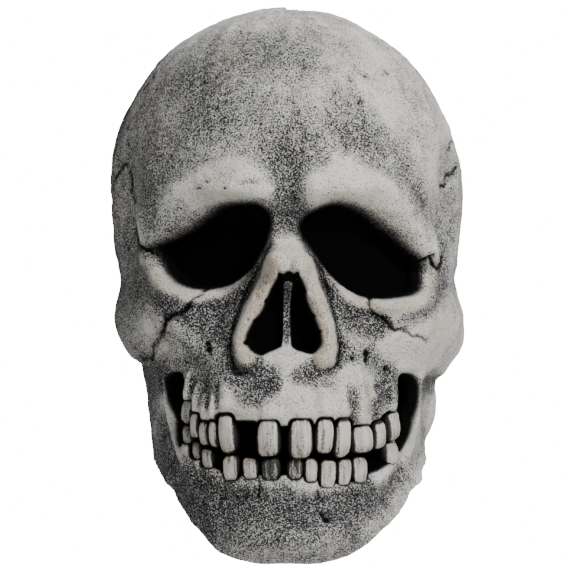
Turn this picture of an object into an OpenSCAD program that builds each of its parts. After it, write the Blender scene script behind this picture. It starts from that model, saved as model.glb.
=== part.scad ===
// Full-head latex skull mask, worn over the whole head. The skin is a face casting and a back
// casting joined over the crown. Teeth are glued on a black tray behind the mouth, black screens
// close the eyes and nose, foam pads centre the mask on the head, and a hook-and-loop strap
// closes the slit at the nape.
// Millimetres. +Z is up and the face looks along -Y. The origin is the point under the crown pad
// where the top of the wearer's head bears.

/* [Skin] */
// Height from the bottom of the chin to the crown
mask_h = 286; // [283:1:289]
// Greatest width of the cranium
mask_w = 184; // [181:1:187]
// Depth of the brow in front of the parting line
brow_depth = 104; // [102:1:106]
// Depth of the occiput behind the parting line
nape_depth = 116; // [112:1:120]
// Thickness of the latex
skin_t = 2.2; // [1.8:0.1:2.6]

/* [Teeth and tray] */
// How far the front of a tooth stands proud of the skin
tooth_proud = 1; // [0.5:0.25:1.5]
// Depth of the tray's floor under the skin's outer face
tray_depth = 7; // [6.5:0.25:8]
// Depth of the eye and nose screens under the skin's outer face
socket_depth = 9; // [8:0.5:10]
// Thickness of the tray and the screens
screen_t = 0.8; // [0.6:0.1:1.2]

/* [Padding] */
// Thickness of the foam pads at their middle
pad_t = 10; // [8:1:11]

/* [Rear closure] */
// Height of the slit above the nape's edge
slit_h = 78; // [70:1:84]
// Width of the closure strap
strap_w = 25; // [20:1:28]
// Thickness of the strap's webbing
strap_t = 1.6; // [1.2:0.1:1.8]
// Distance from the slit to either end of the strap
strap_reach = 32; // [28:1:36]

/* [Hidden] */
bone = "#cfc9bd";
tooth_bone = "#d8d2c4";
screen_black = "#141414";
foam_grey = "#4a4d52";
cloth_white = "#d9d6cc";
strap_black = "#1d1d1f";
label_white = "#ecebe6";

cut = 1;                       // how far a cutter runs past what it cuts
glue_gap = 0.6;                // glue line between a liner and the skin
wide_z = 0.668 * mask_h;       // height of the cranium's greatest width
nape_z = 50;                   // height of the edge at the nape
liner_in = skin_t + glue_gap;  // depth of the tapes' outer face
screen_in = liner_in + 0.4;    // depth of the screens' and the tray's border
tape_t = 0.7;                  // thickness of the tapes
label_t = 0.4;                 // thickness of the care label
seam_in = liner_in + 0.5;      // the wide seam tape bridges the skin's curve
pad_in = seam_in + tape_t + glue_gap;
head_seat_z = mask_h - pad_in - pad_t;

// Half width, and depth in front of and behind the parting line, against height.
side_curve = [[0, 61], [10, 67], [nape_z, 70], [72, 72], [100, 75], [125, 82], [150, 87],
              [wide_z, mask_w / 2]];
front_curve = [[0, 94], [8, 103], [20, 106], [34, 101], [50, 102], [75, 105], [100, 101],
               [130, 98], [160, 97], [180, 99], [wide_z, brow_depth]];
back_curve = [[0, 80], [nape_z, 84], [80, 91], [110, 103], [140, 112], [170, nape_depth - 1],
              [wide_z, nape_depth]];
// Height of the lower edge against the angle round from the chin.
edge_curve = [[0, 0], [14, 0.5], [30, 8], [45, 20], [65, 38], [82, 48], [90, nape_z],
              [180, nape_z]];

// Soft swellings and hollows of the face: middle, spread and height.
relief_list = [
    [[42, 195], [30, 9], 5], [[0, 195], [14, 9], 2], [[38, 161], [26, 18], -9],
    [[1, 150], [8, 17], 11], [[74, 122], [17, 14], 11], [[78, 156], [8, 16], 4],
    [[0, 80], [36, 24], 4], [[62, 88], [9, 14], -5], [[0, 14], [24, 10], 3]];

// Eye openings, as discs that a taut band goes round: place across, height and radius. The
// two differ a little, as on a hand-sculpted mask.
eye_lobes = [
    [[-22, 171, 13.5], [-42, 159.5, 19.5], [-56, 156, 12]],
    [[21, 171, 13], [38, 161, 20.5], [57, 149, 12.5]]];
// Nose openings, the same way.
nose_lobes = [
    [[-4.5, 139.5, 2.5], [-12, 116, 6.5], [-4.5, 115, 2.5]],
    [[4.5, 140, 2.5], [10.5, 115, 5.5], [4.5, 114, 2.5]]];

// Hollows between the cheek and the jaw's upright branches, the same way.
cheek_slots = [
    [[-57.5, 91, 3.5], [-57.5, 75, 3.5], [-55, 62, 3.5]],
    [[61, 89, 3.5], [61.5, 75, 3.5], [58.5, 59, 3.5]]];

// Teeth: left and right edge, lower and upper edge, and lean. The fifth gap from the left is
// a missing tooth's, and the lower row has a gap on the right.
upper_teeth = [
    [-53.5, -49, 71.5, 83, 6], [-48.4, -44.6, 64.5, 77, 6], [-43.9, -39.3, 61, 73, 4],
    [-38.7, -34.7, 60.5, 73.5, 3], [-34, -25.5, 58, 77, 0], [-14.8, -3.2, 56, 74, 0],
    [0.5, 12.7, 55.5, 74.5, -1], [13.8, 22.8, 58, 75, -1], [23.5, 31.6, 55.5, 74.5, -3],
    [32.6, 43, 57, 70.5, -5], [43.9, 50, 59, 72.5, -8], [51.9, 57.6, 63, 77, -12]];
lower_teeth = [
    [-54, -49.5, 60.5, 70, 6], [-48.8, -44.8, 53, 62, 4], [-44, -38.2, 48.5, 58.5, 3],
    [-33, -25, 42.5, 55, 1], [-22.7, -14.8, 43.5, 54.5, 1], [-13.2, -3.5, 43, 54, 0],
    [0, 8.2, 43.5, 54, 0], [8.8, 15.8, 42, 54, -2], [16.6, 25.3, 39, 53, -3],
    [26, 33.2, 40, 53.5, -3], [33.9, 41.5, 41, 54, -5], [51.2, 57.6, 50, 60.5, -10]];
tooth_count = len(upper_teeth);

// Foam pads: least and greatest angle round, and least and greatest height.
pad_fields = [
    ["brow_pad", -38, 38, 206, 232], ["side_pad_right", 100, 126, 150, 196],
    ["side_pad_left", 234, 260, 150, 196], ["nape_pad", 164, 196, 146, 180],
    ["chin_pad", -24, 24, 9, 28]];

tooth_gap = 0.4;               // between a tooth and the next, at the least
tooth_foot = tray_depth - 1.2; // depth of a tooth's foot, on the glue that beds it on the tray
lower_set_back = 1.5;          // how much deeper the lower row stands
window_r = 3.2;                // rounding of the window that the teeth stand in

function two_digits(n) = n < 10 ? str("0", n) : str(n);
function tooth_name(row, i) = str(row, "_tooth_", two_digits(i + 1));

// ---- Curves and the surface of the head ----

// Slope of a curve at one of its points.
function slope_at(p, k) = let (a = max(0, k - 1), b = min(len(p) - 1, k + 1))
    (p[b][1] - p[a][1]) / (p[b][0] - p[a][0]);

// Smooth curve through [place, value] pairs, held at its ends.
function curve(p, s) = let (
    last = len(p) - 1,
    q = min(max(s, p[0][0]), p[last][0]),
    i = min(last - 1, max([for (k = [0:last]) if (q >= p[k][0]) k])),
    h = p[i + 1][0] - p[i][0],
    t = (q - p[i][0]) / h)
    (2 * t ^ 3 - 3 * t ^ 2 + 1) * p[i][1] + (t ^ 3 - 2 * t ^ 2 + t) * h * slope_at(p, i)
    + (3 * t ^ 2 - 2 * t ^ 3) * p[i + 1][1] + (t ^ 3 - t ^ 2) * h * slope_at(p, i + 1);

// Share of its full size that the dome keeps at a height; a greater bend is fuller.
function dome(z, bend) = z <= wide_z ? 1
    : max(0, 1 - ((z - wide_z) / (mask_h - wide_z)) ^ bend) ^ (1 / bend);

function half_width(z) = curve(side_curve, z) * dome(z, 2.15);
function front_depth(z) = curve(front_curve, z) * dome(z, 2.3);
function back_depth(z) = curve(back_curve, z) * dome(z, 2.1);

// Angles run from 0 at the face's middle to 90 at +X and 180 at the back.
function plan_depth(a, z) = cos(a) > 0 ? front_depth(z) : back_depth(z);

function relief(a, z) = cos(a) <= 0 ? 0 : let (x = abs(half_width(z) * sin(a)))
    min(1, 2.5 * cos(a)) * sum([for (r = relief_list)
        r[2] * exp(-((x - r[0][0]) / r[1][0]) ^ 2 - ((z - r[0][1]) / r[1][1]) ^ 2)]);

function sum(v) = v * [for (x = v) 1];

// Unit vector out of the surface.
function outward(a, z) = let (
    rise = max(0, z - wide_z) / (mask_h - wide_z) ^ 2,
    w = half_width(wide_z), d = plan_depth(a, wide_z),
    side = z >= mask_h ? 0 : 1,
    v = [side * dome(z, 2) * sin(a) / w, -side * dome(z, 2) * cos(a) / d, rise])
    v / norm(v);

// Point of the skin at a depth under its outer face.
function skin_point(a, z, depth = 0) =
    [half_width(z) * sin(a), -plan_depth(a, z) * cos(a), z] + outward(a, z) * (relief(a, z) - depth);

// Angle round of the point at a place across the face, or across the back.
function angle_at(x, z) = asin(max(-1, min(1, x / half_width(z))));
function back_angle_at(x, z) = 180 - angle_at(x, z);

// ---- Solids between two sheets of points ----

function join(lists) = [for (l = lists) each l];
function quad(a, b, c, d) = c == d ? [[a, b, c]] : [[a, b, c], [a, c, d]];

// Closed solid between an outer and an inner sheet, each a list of rows of points. With ring the
// rows close on themselves, and with apex the last row is one point.
module slab(outer, inner, ring = false, apex = false) {
    rows = len(outer);
    cols = len(outer[0]);
    end = ring ? cols - 1 : cols - 2;
    back = rows * cols;
    function at(j, i) = j * cols + (apex && j == rows - 1 ? 0 : i % cols);
    faces = join([
        for (j = [0:rows - 2], i = [0:end])
            quad(at(j, i), at(j, i + 1), at(j + 1, i + 1), at(j + 1, i)),
        for (j = [0:rows - 2], i = [0:end])
            [for (f = quad(at(j, i), at(j, i + 1), at(j + 1, i + 1), at(j + 1, i)))
                [back + f[0], back + f[2], back + f[1]]],
        for (i = [0:end]) quad(at(0, i + 1), at(0, i), back + at(0, i), back + at(0, i + 1)),
        if (!apex) for (i = [0:end])
            quad(at(rows - 1, i), at(rows - 1, i + 1),
                 back + at(rows - 1, i + 1), back + at(rows - 1, i)),
        if (!ring) for (j = [0:rows - 2])
            quad(at(j, 0), at(j + 1, 0), back + at(j + 1, 0), back + at(j, 0)),
        if (!ring) for (j = [0:rows - 2])
            quad(at(j + 1, cols - 1), at(j, cols - 1),
                 back + at(j, cols - 1), back + at(j + 1, cols - 1))]);
    polyhedron(concat(join(outer), join(inner)), faces);
}

function steps(a, b, n) = [for (i = [0:n]) a + (b - a) * i / n];

// Heights of one column of the skin, from its edge to the crown.
function column_heights(edge, low_rows, dome_rows) = concat(
    steps(edge, wide_z, low_rows),
    [for (k = [1:dome_rows]) wide_z + (mask_h - wide_z) * sin(90 * k / dome_rows)]);

function skin_sheet(angles, low_rows, dome_rows, depth) = [
    for (j = [0:low_rows + dome_rows])
        [for (a = angles) let (
            turn = abs(a > 180 ? a - 360 : a),
            z = column_heights(curve(edge_curve, turn), low_rows, dome_rows)[j])
            skin_point(a, z, depth)]];

// Patch of a liner under or over the skin, between two angles. low and high are its heights,
// or functions of the angle. The depth may change over the patch: rim_depth is the depth at its
// border, and depth that of its middle.
function height_at(h, a) = is_function(h) ? h(a) : h;
// It changes over the first share of the patch that ramp gives.
function field(s, ramp) = min(1, min(s, 1 - s) / ramp);
function patch_sheet(a0, a1, low, high, na, nz, depth, rim_depth, ramp) = [
    for (v = steps(0, 1, nz)) [for (u = steps(0, 1, na)) let (
        k = min(field(u, ramp[0]), field(v, ramp[1])),
        a = a0 + (a1 - a0) * u,
        z = height_at(low, a) * (1 - v) + height_at(high, a) * v)
        skin_point(a, z, rim_depth + (depth - rim_depth) * k)]];

module patch(a0, a1, low, high, top, under, na = 6, nz = 6, rim_top = undef,
             rim_under = undef, ramp = [0.25, 0.25]) {
    slab(patch_sheet(a0, a1, low, high, na, nz, top, is_undef(rim_top) ? top : rim_top, ramp),
         patch_sheet(a0, a1, low, high, na, nz, under, is_undef(rim_under) ? under : rim_under,
                     ramp));
}

module to_row_frame() translate([0, 0, -head_seat_z]) children();

// ---- Skin ----

cutter_start = brow_depth + 30; // the face's cutters start this far in front
cutter_reach = 118;

// Opening through the front, with a taut band round its discs.
module lobes_band(lobes, facets = 32) {
    hull() for (l = lobes)
        translate([l[0], -cutter_start, l[1]]) rotate([-90, 0, 0])
            cylinder(r = l[2], h = cutter_reach, $fn = facets);
}

// Window through the skin that the teeth stand in, with the hollow at either end of it.
module mouth_window() {
    for (c = cheek_slots, k = [0, 1]) lobes_band([c[k], c[k + 1]]);
    function lobe(t, z) = [(t[0] + t[1]) / 2, z, window_r];
    for (i = [0:tooth_count - 2])
        lobes_band([for (k = [i, i + 1]) each [lobe(upper_teeth[k], upper_teeth[k][3] - 1),
                                               lobe(lower_teeth[k], lower_teeth[k][2] + 1)]], 10);
}

module face_skin() {
    angles = steps(-90, 90, 40);
    color(bone) difference() {
        slab(skin_sheet(angles, 30, 9, 0), skin_sheet(angles, 30, 9, skin_t), apex = true);
        for (e = eye_lobes) lobes_band(e);
        for (n = nose_lobes) lobes_band(n);
        mouth_window();
    }
}

module back_skin() {
    angles = steps(90, 270, 20);
    color(bone) difference() {
        slab(skin_sheet(angles, 30, 9, 0), skin_sheet(angles, 30, 9, skin_t), apex = true);
        translate([0, nape_depth + 20, 0]) rotate([90, 0, 0]) linear_extrude(60) slit_outline();
    }
}

// The slit narrows upwards and ends in a round stop that keeps it from tearing.
module slit_outline() {
    foot = 2;
    head = 0.8;
    stop_r = 2.5;
    top = nape_z + slit_h;
    polygon([[-foot, nape_z - cut], [foot, nape_z - cut], [head, top], [-head, top]]);
    translate([0, top]) circle(r = stop_r, $fn = 24);
}

// ---- Reinforcing tapes ----

tape_w = 18;                   // width of the seam tape
edge_tape_w = 10;
edge_inset = 1.5;              // from the skin's edge to the edge tape
edge_clear = edge_inset + edge_tape_w + 1.5;

// Tape over the parting line, from one side's edge over the crown to the other's.
module seam_tape() {
    up = column_heights(nape_z + edge_clear, 12, 7);
    arch = concat([for (z = up) [90, z]], [for (k = [len(up) - 2:-1:0]) [270, up[k]]]);
    function sheet(depth) = [for (s = arch) [for (y = [-tape_w / 2, 0, tape_w / 2])
        skin_point(s[0], s[1], depth) + [0, y, 0]]];
    color(cloth_white) slab(sheet(seam_in), sheet(seam_in + tape_t));
}

// Tape round the inside of the lower edge, in one length for each casting.
module edge_tape(a0, a1, n) {
    function sheet(depth) = [for (rise = [0, 0.5, 1] * edge_tape_w) [for (a = steps(a0, a1, n)) let (
        turn = abs(a > 180 ? a - 360 : a))
        skin_point(a, curve(edge_curve, turn) + edge_inset + rise, depth)]];
    color(cloth_white) slab(sheet(liner_in), sheet(liner_in + tape_t));
}

module edge_tape_face() edge_tape(-88, 88, 30);
module edge_tape_back() edge_tape(92, 176, 10);

module slit_tape(side) {
    z0 = nape_z + edge_clear;
    z1 = nape_z + slit_h + 8;
    x0 = 3.5;
    x1 = 15;
    function sheet(depth) = [for (z = steps(z0, z1, 5)) [for (x = [x0, (x0 + x1) / 2, x1])
        skin_point(back_angle_at(side * (side > 0 ? x1 + x0 - x : x), z), z, depth)]];
    color(cloth_white) slab(sheet(liner_in), sheet(liner_in + tape_t));
}

// ---- Screens and mouth tray ----

screen_rim = 6;                // border of a screen, past the opening it closes

// Screen cloth glued round a socket's rim and set back behind it. Its lower edge rises towards
// the nose, where it stays clear of the nose screen.
module eye_screen(side) {
    e = eye_lobes[side > 0 ? 1 : 0];
    rim = screen_rim;
    nose_end = 151;
    fall = 0.42;
    high = max([for (l = e) l[1] + l[2]]) + rim;
    mid = e[1][1];
    inner = abs(e[0][0]) - e[0][2] - rim;
    outer = abs(e[2][0]) + e[2][2] + rim;
    a0 = angle_at(inner, mid);
    a1 = angle_at(outer, mid);
    low = function (a) nose_end - fall * (half_width(mid) * abs(sin(a)) - inner);
    color(screen_black)
        patch(side > 0 ? a0 : -a1, side > 0 ? a1 : -a0, low, high,
              socket_depth, socket_depth + screen_t, 10, 10, screen_in, screen_in + screen_t,
              [0.1, 0.1]);
}

// Screen behind the nose, narrower towards its top.
module nose_screen() {
    half_span = 18;
    peak = 148;
    fall = 0.45;
    low = min([for (n = nose_lobes, l = n) l[1] - l[2]]) - screen_rim;
    high = function (a) peak - fall * front_depth(130) * abs(sin(a));
    color(screen_black) patch(-half_span, half_span, low, high, socket_depth,
                              socket_depth + screen_t, 8, 8, screen_in, screen_in + screen_t,
                              [0.13, 0.13]);
}

// Tray of black cloth: glued to the skin round its border and set back behind the teeth. Its
// lower border follows the jaw up.
module mouth_tray() {
    half_span = 70;
    low_mid = 32;
    low_rise = 21;
    high_mid = 90;
    high_rise = 16;
    low = function (a) low_mid + low_rise * (a / half_span) ^ 2;
    high = function (a) high_mid + high_rise * (a / half_span) ^ 2;
    color(screen_black) patch(-half_span, half_span, low, high, tray_depth,
                              tray_depth + screen_t, 20, 10, screen_in, screen_in + screen_t,
                              [0.05, 0.1]);
}

// ---- Teeth ----

// Tooth seen from the front, standing on y = 0 with its crown towards -Y.
module tooth_block(w, h, d) {
    r = 0.28 * w;
    hull() {
        rotate([90, 0, 0]) linear_extrude(0.5 * d)
            offset(r = r, $fn = 12) square([w - 2 * r, h - 2 * r], center = true);
        translate([0, -0.6 * d, 0]) rotate([90, 0, 0]) linear_extrude(0.4 * d)
            offset(r = 0.8 * r, $fn = 12) square([w - 2.6 * r, h - 2.6 * r], center = true);
    }
}

// Tooth from its row in the table: it turns and tilts with the skin. set_back is how much deeper
// than the upper row it stands.
module tooth(t, set_back) {
    mid = (t[2] + t[3]) / 2;
    function at(x, z) = skin_point(angle_at(x, z), z, tooth_foot);
    across = at(t[1], mid) - at(t[0], mid);
    rise = (at(t[0], t[3]) + at(t[1], t[3]) - at(t[0], t[2]) - at(t[1], t[2])) / 2;
    turn = atan2(across[1], across[0]);
    tilt = atan2(rise[0] * sin(turn) - rise[1] * cos(turn), rise[2]);
    translate((at(t[0], mid) + at(t[1], mid)) / 2) rotate([0, 0, turn]) rotate([tilt, 0, 0])
        rotate([0, t[4], 0])
            tooth_block(norm(across) - tooth_gap, t[3] - t[2],
                        tooth_foot + tooth_proud - set_back);
}

// ---- Foam pads ----

module crown_pad() {
    angles = steps(0, 350, 35);
    function sheet(t) = [for (k = [5:9])
        [for (a = angles) let (z = wide_z + (mask_h - wide_z) * sin(10 * k))
            skin_point(a, z, pad_in + t * (k == 5 ? 0.4 : 1))]];
    color(foam_grey) slab(sheet(0), sheet(pad_t), ring = true, apex = true);
}

module foam_pad(f) {
    color(foam_grey) patch(f[1], f[2], f[3], f[4], pad_in, pad_in + pad_t, 6, 5,
                           pad_in, pad_in + 0.4 * pad_t);
}

// ---- Rear closure ----

strap_z = nape_z + 6;          // lower edge of the strap
strap_top = strap_z + strap_w;
hinge_x = -strap_reach / 2;    // the strap bends here, and is sewn down to one side of it
sewn_gap = 0.1;                // between two layers sewn together
closure_gap = 0.3;             // between the hooks and the loops
patch_t = 0.9;                 // thickness of the hook patch and of the loop patch
loop_in = -sewn_gap - patch_t; // depths of outer faces, over the skin
hook_in = loop_in - closure_gap;
strap_in = hook_in - patch_t;

// Piece of the closure between two places across the back.
module closure_piece(x0, x1, z0, z1, top, under, n = 6) {
    function sheet(depth) = [for (z = steps(z0, z1, 3)) [for (x = steps(x1, x0, n))
        skin_point(back_angle_at(x, z), z, depth)]];
    slab(sheet(top), sheet(under));
}

// Sewn end of the strap, folded under itself down to the skin.
module strap_anchor() {
    color(strap_black) closure_piece(-strap_reach, hinge_x - closure_gap, strap_z, strap_top,
                                     strap_in - strap_t, -2 * sewn_gap, 4);
}

module strap_flap() {
    color(strap_black) closure_piece(hinge_x + closure_gap, strap_reach, strap_z, strap_top,
                                     strap_in - strap_t, strap_in, 8);
}

// The patches stand in from the strap's edges; the loops are the larger, to let it be set.
hook_inset = 2;
loop_inset = 1;
patch_x = 5;                   // where the hooks start, right of the slit
loop_past = 6;                 // how far the loops run on past the strap's end

module hook_patch() {
    color(strap_black) closure_piece(patch_x, strap_reach - hook_inset, strap_z + hook_inset,
                                     strap_top - hook_inset, strap_in + sewn_gap, hook_in, 4);
}

module loop_patch() {
    color(strap_black) closure_piece(patch_x - loop_inset, strap_reach + loop_past,
                                     strap_z + loop_inset, strap_top - loop_inset,
                                     loop_in, -sewn_gap, 5);
}

module care_label() {
    color(label_white) patch(134, 154, 92, 122, liner_in, liner_in + label_t, 4, 4);
}

to_row_frame() {
    face_skin();
    back_skin();
    seam_tape();
    edge_tape_face();
    union() {
        edge_tape_back();
        mirror([1, 0, 0]) edge_tape_back();
    }
    eye_screen(-1);  // eye_screen_left
    eye_screen(1);  // eye_screen_right
    nose_screen();
    mouth_tray();
    for (i = [0:tooth_count - 1]) {
        color(tooth_bone) tooth(upper_teeth[i], 0);
        color(tooth_bone) tooth(lower_teeth[i], lower_set_back);
    }
    crown_pad();
    for (f = pad_fields) foam_pad(f);
    slit_tape(-1);  // slit_tape_left
    slit_tape(1);  // slit_tape_right
    strap_anchor();
    strap_flap();
    hook_patch();
    loop_patch();
    care_label();
}
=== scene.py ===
import math
import bmesh
import bpy
import numpy as np
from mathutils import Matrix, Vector


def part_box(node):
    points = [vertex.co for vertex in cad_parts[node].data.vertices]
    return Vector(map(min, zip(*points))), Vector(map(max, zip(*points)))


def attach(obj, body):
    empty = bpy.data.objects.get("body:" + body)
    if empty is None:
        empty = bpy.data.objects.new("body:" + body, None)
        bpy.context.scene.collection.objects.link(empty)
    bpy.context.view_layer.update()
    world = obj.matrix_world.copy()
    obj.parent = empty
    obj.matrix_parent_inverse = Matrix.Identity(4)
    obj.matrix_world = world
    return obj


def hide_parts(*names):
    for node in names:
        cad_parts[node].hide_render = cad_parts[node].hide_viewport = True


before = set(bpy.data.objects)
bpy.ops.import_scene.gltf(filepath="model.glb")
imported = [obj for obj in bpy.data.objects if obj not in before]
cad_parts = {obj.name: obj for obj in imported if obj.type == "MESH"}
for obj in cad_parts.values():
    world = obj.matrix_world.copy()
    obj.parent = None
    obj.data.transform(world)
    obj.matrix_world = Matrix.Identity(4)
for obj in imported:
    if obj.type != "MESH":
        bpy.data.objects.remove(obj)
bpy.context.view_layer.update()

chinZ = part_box("face_skin")[0][2]   # everything below is in mm above the chin, till it is a mesh


# camera and studio

studio = {
    "distance": 4.0,        # m in front of the parting line
    "frameWidth": 0.2994,   # m seen across at the parting line
    "eyeLevel": 0.1415,     # m above the chin
    "floorDrop": 0.25,      # m from the chin to the floor
    "backdrop": 20.0,       # strength of the white that the camera sees, and of the soft light
    "soft": 0.22,
    "lamps": [              # name, place in m, size in m, watts
        ("key", (0.85, -1.30, 0.80), 0.5, 40), ("fill", (-1.2, -1.5, -0.2), 1.0, 4),
        ("top", (0.2, -0.3, 1.5), 0.7, 12), ("rear", (0.4, 1.6, 0.8), 1.2, 22)],
}


def makeCamera():
    data = bpy.data.cameras.new("camera")
    data.sensor_width = 36
    data.lens = 36 * studio["distance"] / studio["frameWidth"]
    camera = bpy.data.objects.new("camera", data)
    camera.location = (-0.0003, -studio["distance"], chinZ + studio["eyeLevel"])
    camera.rotation_euler = (math.pi / 2, 0, 0)
    bpy.context.collection.objects.link(camera)
    bpy.context.scene.camera = camera
    print("camera ready")


makeCamera()


# shader wiring: maths on values is written as plain expressions

class Wire:
    def __init__(self, tree, socket=None):
        self.tree = tree
        self.socket = socket

    def add(self, kind, settings=None, sockets=None, out=0):
        node = self.tree.nodes.new(kind)
        for name, value in (settings or {}).items():
            if name == "stops":
                self.setStops(node.color_ramp, value)
            else:
                setattr(node, name, value)
        for name, value in (sockets or {}).items():
            if isinstance(value, Wire):
                self.tree.links.new(value.socket, node.inputs[name])
            else:
                node.inputs[name].default_value = value
        return Wire(self.tree, node.outputs[out])

    def setStops(self, ramp, stops):
        while len(ramp.elements) < len(stops):
            ramp.elements.new(0.5)
        for element, (place, colour) in zip(ramp.elements, stops):
            element.position = place
            element.color = colour

    def maths(self, operation, *values):
        return self.add("ShaderNodeMath", {"operation": operation}, dict(enumerate(values)))

    def __add__(self, other):
        return self.maths("ADD", self, other)

    def __radd__(self, other):
        return self.maths("ADD", other, self)

    def __sub__(self, other):
        return self.maths("SUBTRACT", self, other)

    def __rsub__(self, other):
        return self.maths("SUBTRACT", other, self)

    def __mul__(self, other):
        return self.maths("MULTIPLY", self, other)

    def __rmul__(self, other):
        return self.maths("MULTIPLY", other, self)

    def clamp(self):
        return self.maths("MINIMUM", self.maths("MAXIMUM", self, 0.0), 1.0)

    def colour(self, factor, first, second):
        return self.add("ShaderNodeMix", {"data_type": "RGBA"}, {0: factor, 6: first, 7: second}, 2)

    def attribute(self, name):
        return self.add("ShaderNodeAttribute", {"attribute_name": name}, out=2)

    def noise(self, scale, detail=2.0, stretch=(1, 1, 1), rough=0.5):
        place = self.add("ShaderNodeTexCoord", out=3)
        place = self.add("ShaderNodeMapping", None, {0: place, 3: stretch})
        return self.add("ShaderNodeTexNoise", None,
                        {"Vector": place, "Scale": scale, "Detail": detail, "Roughness": rough})


def newMaterial(name):
    material = bpy.data.materials.new(name)
    material.use_nodes = True
    return material, Wire(material.node_tree), material.node_tree.nodes["Principled BSDF"]


def plug(tree, shader, name, value):
    tree.links.new(value.socket, shader.inputs[name])


def tone(red, green, blue):
    linear = [((c / 255 + 0.055) / 1.055) ** 2.4 for c in (red, green, blue)]
    return (*linear, 1.0)


# the skull's form

form = {
    "crown": 286.0,         # height over the chin
    "wide": 191.0,          # height of the greatest width
    "bend": 2.12,           # fullness of the dome
    "domeReach": 95.0,      # mm of surface for each radian up the dome
    "side": [(-12, 56), (0, 61), (10, 67), (50, 70), (72, 72), (100, 76), (125, 83.5), (150, 88.3),
             (191, 92)],
    "front": [(-12, 84), (0, 94), (8, 103), (20, 106), (34, 101), (50, 102), (75, 105), (100, 101),
              (130, 98), (160, 97), (180, 99), (191, 104)],
    "back": [(-12, 74), (0, 80), (50, 84), (80, 91), (110, 103), (140, 112), (170, 115),
             (191, 116)],
    "edge": [(0, 0), (17, 0.3), (33, 6.5), (46, 19.5), (65, 38), (82, 48), (90, 50), (180, 50)],
    "skin": 2.2,
    "faceVoxel": 0.9,
    "backVoxel": 1.1,
    "band": 13.0,            # mm either side of the surface that is looked at
    "faceTriangles": 105000,
    "backTriangles": 60000,
    "slit": (50, 128, 2.0, 0.8, 2.5),   # foot, top, half widths there, and the round stop
}


def smoothCurve(points):
    places = np.array([p[0] for p in points], float)
    values = np.array([p[1] for p in points], float)
    slopes = np.gradient(values, places)
    fine = np.linspace(places[0], places[-1], 1200)
    i = np.clip(np.searchsorted(places, fine) - 1, 0, len(places) - 2)
    h = places[i + 1] - places[i]
    t = (fine - places[i]) / h
    value = ((2 * t ** 3 - 3 * t ** 2 + 1) * values[i] + (t ** 3 - 2 * t ** 2 + t) * h * slopes[i]
             + (3 * t ** 2 - 2 * t ** 3) * values[i + 1] + (t ** 3 - t ** 2) * h * slopes[i + 1])
    return lambda z: np.interp(z, fine, value)


halfWidth = smoothCurve(form["side"])
frontDepth = smoothCurve(form["front"])
backDepth = smoothCurve(form["back"])
edgeHeight = smoothCurve(form["edge"])


def ease(t):
    t = np.clip(t, 0, 1)
    return t * t * (3 - 2 * t)


# angle round from the face, way up the surface, and distance out of the smooth head
def unwrap(points):
    x, y, z = points[:, 0], points[:, 1], points[:, 2]
    w = halfWidth(z)
    d = np.where(y < 0, frontDepth(z), backDepth(z))
    t = np.maximum((z - form["wide"]) / (form["crown"] - form["wide"]), 0)
    r = np.sqrt((x / w) ** 2 + (y / d) ** 2)
    b = form["bend"]
    rho = (r ** b + t ** b) ** (1 / b)
    steep = np.sqrt((x / w ** 2) ** 2 + (y / d ** 2) ** 2
                    + (t / (form["crown"] - form["wide"])) ** 2)
    rise = np.arctan2(t ** (b / 2), np.maximum(r, 1e-6) ** (b / 2))
    up = np.where(t > 0, form["wide"] + form["domeReach"] * rise, z)
    return np.arctan2(x / w, -y / d), up, (rho - 1) * rho / np.maximum(steep, 1e-4)


def wrap(angle, up):
    rise = np.clip((up - form["wide"]) / form["domeReach"], 0, math.pi / 2)
    b = form["bend"]
    r = np.cos(rise) ** (2 / b)
    z = np.where(up > form["wide"],
                 form["wide"] + (form["crown"] - form["wide"]) * np.sin(rise) ** (2 / b), up)
    d = np.where(np.cos(angle) > 0, frontDepth(z), backDepth(z))
    return np.stack([r * halfWidth(z) * np.sin(angle), -r * d * np.cos(angle), z], -1)


# point of the smooth head seen at a place across and a height, on the face or on the back
def onHead(x, z, back=False):
    b = form["bend"]
    t = max(0.0, (z - form["wide"]) / (form["crown"] - form["wide"]))
    r = max(0.0, 1 - t ** b) ** (1 / b)
    across = max(-1.0, min(1.0, x / max(1e-3, float(halfWidth(z)) * r)))
    depth = float(backDepth(z)) if back else -float(frontDepth(z))
    return x, depth * r * math.sqrt(1 - across * across), z


# relief maps over the unwrapped head

mapStep = {"angle": math.radians(0.24), "up": 0.42, "low": -10.0, "high": 342.0, "radius": 92}
mapAngles = np.arange(-math.pi, math.pi + mapStep["angle"], mapStep["angle"])
mapUps = np.arange(mapStep["low"], mapStep["high"], mapStep["up"])
mapPoints = wrap(*np.meshgrid(mapAngles, mapUps)).reshape(-1, 3)
mapSize = (len(mapUps), len(mapAngles))
relief = np.zeros(len(mapPoints))
opening = np.full(len(mapPoints), 40.0)
# the black wash together with painted shade and painted highlights
wash = np.zeros(len(mapPoints))
# black paint in cracks, sockets and gaps, and painted shade under the brows and round the teeth
ink = np.zeros(len(mapPoints))
warmth = np.zeros(len(mapPoints))


def between(grid, row, column):
    v = np.clip(row, 0, grid.shape[0] - 1.001)
    u = np.clip(column, 0, grid.shape[1] - 1.001)
    i, j = v.astype(int), u.astype(int)
    fv, fu = v - i, u - j
    return ((grid[i, j] * (1 - fu) + grid[i, j + 1] * fu) * (1 - fv)
            + (grid[i + 1, j] * (1 - fu) + grid[i + 1, j + 1] * fu) * fv)


def readMap(values, angle, up):
    return between(values.reshape(mapSize), (up - mapStep["low"]) / mapStep["up"],
                   (angle + math.pi) / mapStep["angle"])


seen = {"points": mapPoints, "shaped": False}


# direction straight out of the head
def outward(points):
    out = unwrap(points)[2]
    way = np.stack([unwrap(points + shift)[2] - out for shift in np.eye(3) * 0.01], 1)
    return way / np.linalg.norm(way, axis=1, keepdims=True)


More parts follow.
